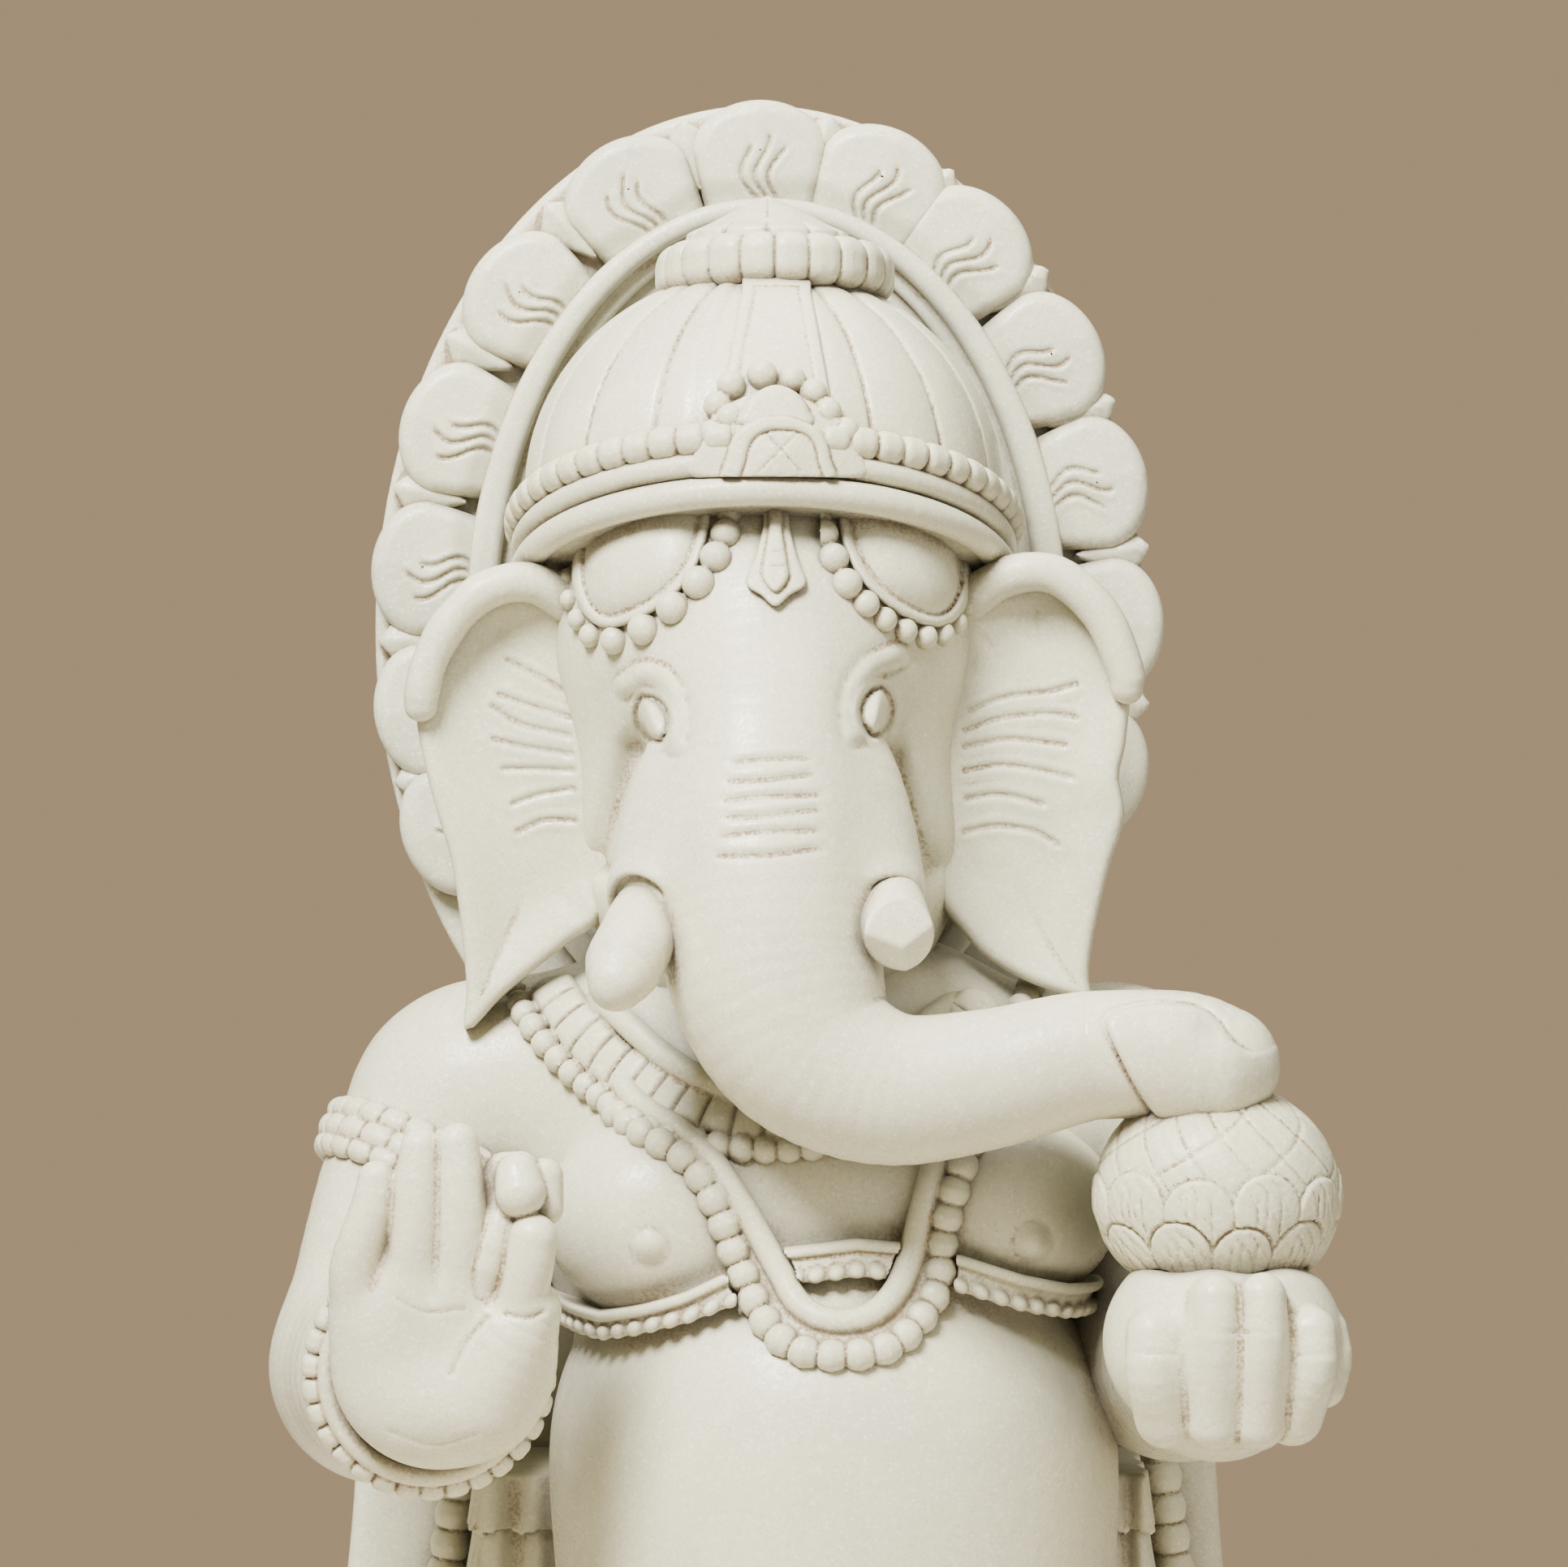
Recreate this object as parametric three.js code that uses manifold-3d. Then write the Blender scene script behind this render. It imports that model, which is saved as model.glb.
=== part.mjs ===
// A seated Ganesha idol carved in white marble, with a lotus-petal halo behind the head.
// Millimetres, +Z up, the figure faces -Y, and its own right side is at -X.
// The origin is the centre of the plinth's underside.
import * as THREE from 'three';
import { ConvexGeometry } from 'three/addons/geometries/ConvexGeometry.js';
import { mergeVertices } from 'three/addons/utils/BufferGeometryUtils.js';
import Module from 'manifold-3d';

const wasm = await Module();
wasm.setup();

// Driving dimensions
const GAP = 0.3;
const PLINTH = { width: 690, depth: 480, height: 60, corner: 34 };
const SEAT = { width: 644, depth: 444, top: 150 };
const SEAT_CENTRE_Y = -50;
const BACK_FACE_Y = 150;
const HALO = { x: -10, z: 915, width: 444, height: 602, face: 98 };
const HALO_RIM = { width: 326, height: 494, breadth: 14, face: 84 };
const PETAL = { width: 68, height: 56, face: 80, pitch: 79, perSide: 7 };
const CROWN_TILT = THREE.MathUtils.degToRad(22);
const CROWN_SEAM = { x: -9, y: -20, z: 940 };
const CROWN_RING = { x: -5, y: -18, z: 1094, radius: 66, height: 27 };
const BAND = { x: -11, y: -31, z: 944.5, reach: 130, belowCentre: 30 };

// Rounded masses that the carved ornaments lie on
const BELLY = { at: [28, -60, 412], radii: [152, 150, 190] };
const CHEST = { at: [18, -32, 600], radii: [156, 124, 128] };
const HIPS = { at: [18, -10, 238], radii: [170, 130, 87] };
const CRANIUM = { at: [-8, -28, 905], radii: [118, 120, 116] };
const CHEEKS = { at: [-6, -42, 812], radii: [106, 100, 106] };
const TORSO_MASSES = [BELLY, CHEST, HIPS];
const HEAD_MASSES = [CRANIUM, CHEEKS];
const DOME = { at: [-11, -20, 972], radii: [131, 128, 122] };

// Joining and cutting

function solidOf(geometry) {
  const bare = geometry.clone();
  bare.deleteAttribute('normal');
  bare.deleteAttribute('uv');
  const merged = mergeVertices(bare, 1e-4);
  return new wasm.Manifold(new wasm.Mesh({
    numProp: 3,
    vertProperties: merged.getAttribute('position').array,
    triVerts: new Uint32Array(merged.index.array),
  }));
}

function join(solids) {
  return solids.reduce((whole, next) => whole.add(next));
}

// The triangles of the biggest connected body, so that a crumb left by a cut is dropped.
function biggestBody(positions, triangles) {
  const leader = Array.from({ length: positions.length / 3 }, (_, index) => index);
  const find = (index) => {
    let top = index;
    while (leader[top] !== top) {
      leader[top] = leader[leader[top]];
      top = leader[top];
    }
    return top;
  };
  for (let i = 0; i < triangles.length; i += 3) {
    leader[find(triangles[i])] = find(triangles[i + 1]);
    leader[find(triangles[i + 1])] = find(triangles[i + 2]);
  }
  const bodies = new Map();
  for (let i = 0; i < triangles.length; i += 3) {
    const body = find(triangles[i]);
    if (!bodies.has(body)) bodies.set(body, []);
    bodies.get(body).push(triangles[i], triangles[i + 1], triangles[i + 2]);
  }
  return [...bodies.values()].reduce((most, next) => (next.length > most.length ? next : most));
}

function geometryOf(solid) {
  const mesh = solid.getMesh();
  const geometry = new THREE.BufferGeometry();
  geometry.setAttribute('position', new THREE.BufferAttribute(mesh.vertProperties, 3));
  geometry.setIndex(biggestBody(mesh.vertProperties, mesh.triVerts));
  const separate = mergeVertices(geometry, 1e-5);
  separate.computeVertexNormals();
  return separate;
}

// Basic forms, each swollen all round by grow

function ellipsoid(mass, grow, across = 12, up = 8) {
  const geometry = new THREE.SphereGeometry(1, across, up);
  geometry.rotateX(Math.PI / 2);
  geometry.scale(...mass.radii.map((radius) => radius + grow));
  geometry.translate(...mass.at);
  return solidOf(geometry);
}

// A limb: rounded cones from each stop [x, y, z, radius] to the next.
function limb(stops, grow, around = 8) {
  const ball = new THREE.SphereGeometry(1, around, Math.round(around * 0.6));
  const corners = ball.getAttribute('position');
  const ballAt = ([x, y, z, radius]) => {
    const points = [];
    for (let i = 0; i < corners.count; i += 1) {
      const point = new THREE.Vector3().fromBufferAttribute(corners, i);
      points.push(point.multiplyScalar(radius + grow).add(new THREE.Vector3(x, y, z)));
    }
    return points;
  };
  const joints = [];
  for (let i = 0; i + 1 < stops.length; i += 1) {
    joints.push(solidOf(new ConvexGeometry([...ballAt(stops[i]), ...ballAt(stops[i + 1])])));
  }
  return join(joints);
}

function circleShape(radius, sides) {
  const shape = new THREE.Shape();
  shape.absarc(0, 0, radius, 0, 2 * Math.PI);
  return new THREE.Shape(shape.getPoints(sides).slice(0, -1));
}

// A cord of round section along a smooth open route.
function cord(route, radius, grow, steps, sides = 5) {
  const curve = new THREE.CatmullRomCurve3(route.map((point) => new THREE.Vector3(...point)));
  const geometry = new THREE.ExtrudeGeometry(circleShape(radius + grow, sides), {
    extrudePath: curve,
    steps,
    curveSegments: 1,
  });
  return solidOf(geometry);
}

// An upright plate: an outline in X and Z, between two depths, with softened edges.
function plate(outline, front, back, grow, soften = 0) {
  const thickness = back - front + 2 * grow;
  const geometry = new THREE.ExtrudeGeometry(outline, {
    depth: thickness - 2 * soften,
    bevelEnabled: true,
    bevelThickness: Math.max(soften, 0.01),
    bevelSize: Math.max(soften, 0.01),
    bevelOffset: grow - soften,
    bevelSegments: 1,
    curveSegments: 7,
  });
  geometry.rotateX(Math.PI / 2);
  geometry.translate(0, back + grow - soften, 0);
  return solidOf(geometry);
}

function ovalShape(x, z, width, height, points) {
  const oval = new THREE.EllipseCurve(x, z, width / 2, height / 2);
  return new THREE.Shape(oval.getPoints(points).slice(0, -1));
}

function smoothShape(outline, points) {
  const route = outline.map(([x, z]) => new THREE.Vector3(x, z, 0));
  const curve = new THREE.CatmullRomCurve3(route, true, 'catmullrom', 0.4);
  const around = curve.getPoints(points).slice(0, -1);
  return new THREE.Shape(around.map((point) => new THREE.Vector2(point.x, point.y)));
}

function turned(profile, at, grow, segments = 20, depthScale = 1) {
  const points = profile.map(([radius, height]) => new THREE.Vector2(radius, height));
  const geometry = new THREE.LatheGeometry(points, segments);
  geometry.rotateX(Math.PI / 2);
  geometry.scale(1, depthScale, 1);
  geometry.computeBoundingBox();
  const middle = geometry.boundingBox.getCenter(new THREE.Vector3());
  const size = geometry.boundingBox.getSize(new THREE.Vector3());
  geometry.translate(-middle.x, -middle.y, -middle.z);
  geometry.scale(1 + (2 * grow) / size.x, 1 + (2 * grow) / size.y, 1 + (2 * grow) / size.z);
  geometry.translate(at[0], at[1], at[2] + middle.z);
  return solidOf(geometry);
}

// A ring worn on a limb, its hole facing along the given direction.
function wornRing(at, along, radius, thickness, grow, segments = 16) {
  const geometry = new THREE.TorusGeometry(radius, thickness + grow, 6, segments);
  const facing = new THREE.Vector3(...along).normalize();
  const turn = new THREE.Quaternion().setFromUnitVectors(new THREE.Vector3(0, 0, 1), facing);
  geometry.applyQuaternion(turn);
  geometry.translate(...at);
  return solidOf(geometry);
}

// The space above or below the sloping seam between the head and the crown.
function seamHalf(above, grow) {
  const size = 600;
  const geometry = new THREE.BoxGeometry(size, size, size);
  geometry.translate(0, 0, above ? size / 2 - grow : grow - size / 2);
  geometry.rotateX(-CROWN_TILT);
  geometry.translate(CROWN_SEAM.x, CROWN_SEAM.y, CROWN_SEAM.z);
  return solidOf(geometry);
}

// How far forward the rounded masses come at a place seen from the front.
function frontOf(masses, x, z) {
  let front = 0;
  for (const { at, radii } of masses) {
    const inside = 1 - ((x - at[0]) / radii[0]) ** 2 - ((z - at[2]) / radii[2]) ** 2;
    if (inside > 0) front = Math.min(front, at[1] - radii[1] * Math.sqrt(inside));
  }
  return front;
}

function lyingOn(masses, places, proud) {
  return places.map(([x, z]) => [x, frontOf(masses, x, z) - proud, z]);
}

// Base

const plinth = (grow) => {
  const halfWidth = PLINTH.width / 2;
  const halfDepth = PLINTH.depth / 2;
  const corner = PLINTH.corner;
  const outline = new THREE.Shape();
  outline.absarc(halfWidth - corner, halfDepth - corner, corner, 0, Math.PI / 2);
  outline.absarc(corner - halfWidth, halfDepth - corner, corner, Math.PI / 2, Math.PI);
  outline.absarc(corner - halfWidth, corner - halfDepth, corner, Math.PI, 1.5 * Math.PI);
  outline.absarc(halfWidth - corner, corner - halfDepth, corner, 1.5 * Math.PI, 2 * Math.PI);
  const geometry = new THREE.ExtrudeGeometry(outline, {
    depth: PLINTH.height + grow,
    bevelEnabled: false,
    curveSegments: 5,
  });
  geometry.translate(0, SEAT_CENTRE_Y, 0);
  return solidOf(geometry);
};

const lotusBase = (grow) => {
  const half = SEAT.width / 2;
  const low = PLINTH.height + GAP;
  const profile = [
    [0, low], [half, low], [half, low + 10], [half - 34, low + 40],
    [half - 20, low + 62], [half, SEAT.top - 10], [half - 8, SEAT.top], [0, SEAT.top],
  ];
  return turned(profile, [0, SEAT_CENTRE_Y, 0], grow, 28, SEAT.depth / SEAT.width);
};

const backSlab = (grow) => {
  const outline = smoothShape([
    [-268, 160], [-250, 400], [-236, 520], [-200, 630], [-120, 690],
    [120, 690], [205, 630], [242, 520], [252, 400], [268, 160],
    [200, SEAT.top + 5], [-200, SEAT.top + 5],
  ], 28);
  return plate(outline, 88, BACK_FACE_Y, grow, 6);
};

// Halo

const haloDisc = (grow) => {
  const outline = ovalShape(HALO.x - 4, HALO.z, HALO.width, HALO.height, 36);
  return plate(outline, HALO.face, BACK_FACE_Y, grow, 5);
};

const haloRim = (grow) => {
  const outline = ovalShape(HALO.x, HALO.z, HALO_RIM.width, HALO_RIM.height, 28);
  const inside = ovalShape(
    HALO.x, HALO.z, HALO_RIM.width - 2 * HALO_RIM.breadth, HALO_RIM.height - 2 * HALO_RIM.breadth, 28,
  );
  const body = plate(outline, HALO_RIM.face, HALO.face - GAP, grow);
  return body.subtract(plate(inside, HALO_RIM.face - 5, HALO.face + 5, -grow));
};

// Petals stand at equal steps along the oval between the rim and the edge of the halo.
const petalOval = new THREE.EllipseCurve(
  HALO.x, HALO.z, (HALO.width + HALO_RIM.width) / 4, (HALO.height + HALO_RIM.height) / 4,
  Math.PI / 2, Math.PI / 2 + 2 * Math.PI,
);

const petal = (index) => (grow) => {
  const along = ((index * PETAL.pitch) / petalOval.getLength() + 1) % 1;
  const at = petalOval.getPointAt(along);
  const tangent = petalOval.getTangentAt(along);
  const geometry = new THREE.ExtrudeGeometry(ovalShape(0, 0, PETAL.width, PETAL.height, 10), {
    depth: HALO.face - GAP - PETAL.face - 5 + 2 * grow,
    bevelEnabled: true,
    bevelThickness: 5,
    bevelSize: 7,
    bevelOffset: grow - 7,
    bevelSegments: 1,
  });
  geometry.translate(0, 0, -5);
  geometry.rotateZ(Math.atan2(-tangent.y, -tangent.x));
  geometry.rotateX(Math.PI / 2);
  geometry.translate(at.x, HALO.face - GAP - 5 + grow, at.y);
  return solidOf(geometry);
};

// Head

const head = (grow) => join(HEAD_MASSES.map((mass) => ellipsoid(mass, grow))).intersect(
  seamHalf(false, grow),
);

const TRUNK_ROUTE = [
  [-8, -128, 880, 56], [-9, -150, 835, 64], [-8, -168, 785, 68], [-3, -186, 722, 55],
  [16, -196, 686, 47], [54, -202, 669, 40], [105, -204, 674, 36], [155, -205, 686, 33],
];
const TRUNK_END = [[155, -205, 686, 32], [196, -205, 688, 31], [224, -207, 680, 31], [226, -212, 672, 24]];

const trunk = (grow) => limb(TRUNK_ROUTE, grow);
const trunkTip = (grow) => limb(TRUNK_END, grow);
const rightTusk = (grow) => limb([[-72, -170, 768, 21], [-80, -212, 742, 20], [-84, -228, 732, 16]], grow);
const leftTusk = (grow) => limb([[56, -178, 768, 20], [58, -214, 752, 19]], grow);

const earOutline = (side) => (side < 0
  ? [[-92, 905], [-135, 932], [-162, 934], [-190, 905], [-199, 866], [-191, 826], [-179, 784],
    [-172, 735], [-172, 696], [-145, 716], [-112, 745], [-84, 790]]
  : [[84, 905], [110, 932], [140, 943], [170, 923], [187, 884], [184, 842], [184, 808], [174, 776],
    [166, 735], [166, 708], [122, 724], [95, 747], [74, 790]]);

const ear = (side) => (grow) => plate(smoothShape(earOutline(side), 20), -74, -46, grow, 5);

const earFold = (side) => (grow) => {
  const route = side < 0
    ? [[-118, -68, 924], [-138, -74, 934], [-165, -76, 928], [-188, -76, 900], [-194, -76, 868]]
    : [[100, -68, 924], [122, -74, 938], [148, -76, 938], [174, -76, 912], [184, -76, 880]];
  return cord(route, 10, grow, 6);
};

const rightEyeBoss = { at: [-75, -112, 950], radii: [36, 24, 40] };
const leftEyeBoss = { at: [65, -112, 950], radii: [36, 24, 40] };
const browBoss = (mass) => (grow) => ellipsoid(mass, grow, 10, 6);

const BROW_LOOP_LEFT = [[18, 968], [28, 936], [50, 912], [78, 901], [100, 912], [106, 938]];
const BROW_LOOP_RIGHT = BROW_LOOP_LEFT.map(([x, z]) => [2 * CRANIUM.at[0] + 6 - x, z]);
const browBeads = (loop) => (grow) => cord(lyingOn(HEAD_MASSES, loop, 3), 7, grow, 8);

const browPendant = (grow) => {
  const outline = new THREE.Shape([
    new THREE.Vector2(-9, 972), new THREE.Vector2(-17, 940), new THREE.Vector2(-4, 924),
    new THREE.Vector2(9, 940), new THREE.Vector2(1, 972),
  ]);
  return plate(outline, -158, -128, grow, 2);
};

// Crown

// A route round the crown, level with the sloping seam and raised from it along its slope.
function bandRoute(raise, steps = 12) {
  const opening = THREE.MathUtils.degToRad(62);
  const radius = Math.sqrt(BAND.reach ** 2 - (BAND.belowCentre - raise) ** 2);
  const route = [];
  for (let i = 0; i <= steps; i += 1) {
    const angle = Math.PI / 2 + opening + (i / steps) * 2 * (Math.PI - opening);
    const point = new THREE.Vector3(radius * Math.cos(angle), radius * Math.sin(angle), raise);
    point.applyAxisAngle(new THREE.Vector3(1, 0, 0), -CROWN_TILT);
    route.push([point.x + BAND.x, point.y + BAND.y, point.z + BAND.z]);
  }
  return route;
}

const headbandLower = (grow) => cord(bandRoute(-5), 9, grow, 13);
const headbandUpper = (grow) => cord(bandRoute(12), 8, grow, 13);
const headbandBeads = (grow) => cord(bandRoute(29), 9, grow, 13);
const crownDome = (grow) => ellipsoid(DOME, grow, 16, 11).intersect(seamHalf(true, grow));

const crownMedallion = (grow) => {
  const outline = new THREE.Shape();
  outline.moveTo(-44, 990);
  outline.lineTo(38, 990);
  outline.lineTo(36, 1014);
  outline.absarc(-3, 1016, 30, 0, Math.PI);
  outline.lineTo(-42, 1014);
  return plate(outline, -168, -138, grow, 4);
};

const crownStrap = (grow) => {
  const raised = { at: DOME.at, radii: DOME.radii.map((radius) => radius + 5) };
  const bounds = new THREE.BoxGeometry(42 + 2 * grow, 110, 90);
  bounds.translate(-5, -95, 1040);
  return ellipsoid(raised, grow, 16, 11).intersect(solidOf(bounds));
};

const crownRing = (grow) => {
  const { radius, height } = CROWN_RING;
  const profile = [
    [0, 0], [radius - 12, 0], [radius - 2, 6], [radius, height / 2], [radius - 2, height - 6],
    [radius - 12, height], [0, height],
  ];
  return turned(profile, [CROWN_RING.x, CROWN_RING.y, CROWN_RING.z], grow);
};

const crownFinial = (grow) => {
  const profile = [[0, 0], [42, 0], [44, 6], [34, 13], [16, 22], [0, 28]];
  return turned(profile, [-8, CROWN_RING.y, CROWN_RING.z + CROWN_RING.height], grow, 20);
};

// Body and its ornaments

const torso = (grow) => join(TORSO_MASSES.map((mass) => ellipsoid(mass, grow, 16, 9)));
const neck = (grow) => ellipsoid({ at: [-4, -36, 712], radii: [84, 74, 56] }, grow, 10, 6);

const collarNecklace = (grow) => {
  const front = lyingOn(TORSO_MASSES, [[-84, 676], [-50, 650], [-8, 638], [40, 648], [84, 676]], 3);
  return cord([[-98, 20, 708], [-106, -40, 700], ...front, [116, -40, 700], [106, 20, 708]], 13, grow, 12);
};

const longNecklace = (grow) => cord(lyingOn(TORSO_MASSES, [
  [-104, 655], [-72, 640], [-45, 618], [-24, 588], [-12, 560], [6, 540], [30, 532],
  [56, 540], [77, 562], [90, 592], [99, 628], [108, 655],
], 6), 11, grow, 15);

const chestBand = (grow) => {
  const front = lyingOn(TORSO_MASSES, [
    [-112, 537], [-70, 545], [-30, 560], [6, 574], [30, 577], [56, 576], [92, 567], [130, 556], [160, 551],
  ], -1);
  return cord([[-122, 30, 545], ...front, [162, 30, 556]], 9, grow, 13);
};

// Arms

const rightUpperArm = (grow) => limb([[-150, 0, 668, 58], [-196, -20, 618, 54], [-214, -66, 512, 61]], grow);
const rightForearm = (grow) => limb([[-212, -72, 510, 60], [-184, -186, 522, 50]], grow);
const rightArmlet = (grow) => wornRing([-200, -26, 612], [-0.45, -0.25, -1], 50, 9, grow);
const rightBangle = (grow) => wornRing([-184, -192, 522], [0.2, -1, 0], 54, 8, grow);

const rightHand = (grow) => join([
  limb([[-184, -186, 522, 44], [-172, -214, 520, 36]], grow),
  ellipsoid({ at: [-172, -224, 532], radii: [57, 25, 64] }, grow, 10, 6),
  limb([[-204, -226, 566, 13], [-209, -230, 600, 12], [-208, -234, 624, 10]], grow, 5),
  limb([[-186, -226, 570, 14], [-187, -230, 610, 13], [-186, -236, 638, 12]], grow, 5),
  limb([[-160, -226, 572, 14], [-160, -230, 612, 13], [-162, -236, 640, 12]], grow, 5),
  limb([[-138, -226, 566, 14], [-130, -232, 604, 14], [-126, -244, 624, 12], [-130, -252, 606, 11]], grow, 5),
  limb([[-132, -226, 540, 17], [-122, -240, 570, 14], [-128, -250, 592, 11]], grow, 5),
]);

const leftUpperArm = (grow) => limb([[172, 0, 668, 58], [206, -20, 612, 55], [214, -60, 520, 58]], grow);
const leftForearm = (grow) => limb([[214, -66, 518, 56], [226, -168, 520, 46]], grow);

const SWEETS = { at: [224, -200, 616], radii: [64, 58, 58] };
const sweetHeap = (grow) => ellipsoid(SWEETS, grow, 14, 9);

const leftHand = (grow) => join([
  ellipsoid({ at: [229, -208, 534], radii: [62, 56, 48] }, grow, 12, 8),
  limb([[190, -246, 508, 14], [186, -258, 540, 13], [186, -258, 558, 12]], grow, 5),
  limb([[216, -252, 506, 14], [219, -266, 545, 12.5], [220, -266, 572, 12]], grow, 5),
  limb([[240, -252, 506, 14], [243, -266, 545, 12.5], [244, -266, 572, 12]], grow, 5),
  limb([[266, -246, 508, 14], [269, -258, 540, 13], [269, -258, 558, 12]], grow, 5),
  limb([[280, -210, 530, 14], [284, -216, 555, 12]], grow, 5),
]);

// Legs, folded flat on the seat with the shins crossed in front

const LEG_Z = SEAT.top + 0.5;
const rightLeg = (grow) => limb([
  [-100, -40, LEG_Z + 66, 66], [-236, -110, LEG_Z + 56, 54], [-130, -176, LEG_Z + 58, 42],
  [20, -200, LEG_Z + 76, 28], [92, -192, LEG_Z + 88, 24],
], grow);
const leftLeg = (grow) => limb([
  [130, -40, LEG_Z + 66, 66], [246, -110, LEG_Z + 56, 54], [140, -200, LEG_Z + 40, 38],
  [0, -222, LEG_Z + 32, 28], [-84, -212, LEG_Z + 30, 24],
], grow);

// Cloth and bead strips that hang at both sides of the waist

const sash = (side) => (grow) => {
  const inner = side < 0 ? -108 : 164;
  const outer = side < 0 ? -174 : 204;
  const outline = new THREE.Shape([
    new THREE.Vector2(inner, 236), new THREE.Vector2(inner, 448),
    new THREE.Vector2(outer, 440), new THREE.Vector2(outer + side * 16, 236),
  ]);
  return plate(outline, -40, 88 - GAP, grow, 4);
};

const beadStrip = (side) => (grow) => {
  const route = side < 0
    ? [[-184, 74, 436], [-192, 74, 380], [-206, 74, 300], [-216, 74, 250]]
    : [[214, 74, 440], [222, 74, 380], [232, 74, 300], [238, 74, 250]];
  return cord(route, 11, grow, 6);
};

// Looks

const stone = (color, roughness) => ({ color, roughness });
const SMOOTH = stone(0xe6e1d6, 0.38);
const CARVED = stone(0xddd6c8, 0.5);
const SLAB = stone(0xdcd9d0, 0.45);
const BASE = stone(0xd8d3c7, 0.5);

// Every piece keeps its shape against the ones after it, which give way round it.
const pieces = [
  ['plinth', plinth, BASE],
  ['lotus_base', lotusBase, BASE],
  ['halo_disc', haloDisc, SLAB],
  ['halo_rim', haloRim, SLAB],
  ['back_slab', backSlab, SLAB],
  ['head', head, SMOOTH],
  ['crown_dome', crownDome, SMOOTH],
  ['crown_ring', crownRing, CARVED],
  ['crown_finial', crownFinial, CARVED],
  ['crown_strap', crownStrap, CARVED],
  ['headband_lower_roll', headbandLower, CARVED],
  ['headband_upper_roll', headbandUpper, CARVED],
  ['headband_beads', headbandBeads, CARVED],
  ['crown_medallion', crownMedallion, CARVED],
  ['right_brow_boss', browBoss(rightEyeBoss), SMOOTH],
  ['left_brow_boss', browBoss(leftEyeBoss), SMOOTH],
  ['right_brow_beads', browBeads(BROW_LOOP_RIGHT), CARVED],
  ['left_brow_beads', browBeads(BROW_LOOP_LEFT), CARVED],
  ['sweet_heap', sweetHeap, CARVED],
  ['trunk_tip', trunkTip, SMOOTH],
  ['trunk', trunk, SMOOTH],
  ['brow_pendant', browPendant, CARVED],
  ['right_tusk', rightTusk, SMOOTH],
  ['left_tusk', leftTusk, SMOOTH],
  ['right_ear_fold', earFold(-1), SMOOTH],
  ['left_ear_fold', earFold(1), SMOOTH],
  ['right_ear', ear(-1), SMOOTH],
  ['left_ear', ear(1), SMOOTH],
  ['torso', torso, SMOOTH],
  ['neck', neck, SMOOTH],
  ['chest_band', chestBand, CARVED],
  ['collar_necklace', collarNecklace, CARVED],
  ['long_necklace', longNecklace, CARVED],
  ['right_armlet', rightArmlet, CARVED],
  ['right_bangle', rightBangle, CARVED],
  ['right_upper_arm', rightUpperArm, SMOOTH],
  ['right_forearm', rightForearm, SMOOTH],
  ['right_hand', rightHand, SMOOTH],
  ['left_upper_arm', leftUpperArm, SMOOTH],
  ['left_forearm', leftForearm, SMOOTH],
  ['left_hand', leftHand, SMOOTH],
  ['right_leg', rightLeg, SMOOTH],
  ['left_leg', leftLeg, SMOOTH],
  ['right_sash', sash(-1), CARVED],
  ['left_sash', sash(1), CARVED],
  ['right_bead_strip', beadStrip(-1), CARVED],
  ['left_bead_strip', beadStrip(1), CARVED],
];

for (let index = -PETAL.perSide + 1; index < PETAL.perSide; index += 1) {
  const side = index > 0 ? 'right' : 'left';
  const name = index === 0 ? 'halo_petal_top' : `halo_petal_${side}_${Math.abs(index)}`;
  pieces.push([name, petal(index), SLAB]);
}

function boxesMeet(one, other) {
  return [0, 1, 2].every((axis) => one.min[axis] < other.max[axis] && other.min[axis] < one.max[axis]);
}

const idol = new THREE.Group();
const carving = new THREE.Group();
carving.position.y = -SEAT_CENTRE_Y;
idol.add(carving);

const earlier = [];
for (const [name, shape, look] of pieces) {
  let solid = shape(0);
  for (const other of earlier) {
    if (boxesMeet(solid.boundingBox(), other.boundingBox())) solid = solid.subtract(other);
  }
  earlier.push(shape(GAP));
  const material = new THREE.MeshStandardMaterial({
    color: look.color,
    roughness: look.roughness,
    metalness: 0,
  });
  const mesh = new THREE.Mesh(geometryOf(solid), material);
  mesh.name = name;
  carving.add(mesh);
}

export default idol;
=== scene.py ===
# The marble Ganesha, carved in code: each piece is a solid described by a distance function,
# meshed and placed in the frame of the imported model.
import math

import bmesh
import bpy
import numpy as np
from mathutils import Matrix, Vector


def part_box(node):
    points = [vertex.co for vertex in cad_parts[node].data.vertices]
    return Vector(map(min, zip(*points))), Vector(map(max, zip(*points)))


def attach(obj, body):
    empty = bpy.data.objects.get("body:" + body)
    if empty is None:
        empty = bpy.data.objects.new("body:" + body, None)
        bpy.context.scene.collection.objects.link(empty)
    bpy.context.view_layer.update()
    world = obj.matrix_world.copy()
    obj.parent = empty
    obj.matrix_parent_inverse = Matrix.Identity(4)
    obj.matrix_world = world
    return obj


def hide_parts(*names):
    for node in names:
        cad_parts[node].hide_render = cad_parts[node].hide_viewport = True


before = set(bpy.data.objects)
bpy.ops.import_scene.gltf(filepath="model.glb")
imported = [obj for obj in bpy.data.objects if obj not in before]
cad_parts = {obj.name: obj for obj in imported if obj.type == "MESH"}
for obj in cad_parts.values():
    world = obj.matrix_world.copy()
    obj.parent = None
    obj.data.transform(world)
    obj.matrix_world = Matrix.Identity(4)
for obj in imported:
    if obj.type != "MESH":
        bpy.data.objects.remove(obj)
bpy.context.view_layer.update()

# The figure is drawn in millimetres, facing -Y, with its head above X = -9.
# SHIFT_Y moves it onto the plinth, whose centre is the origin.
MM = 0.001
PLINTH_BACK = 190
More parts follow.
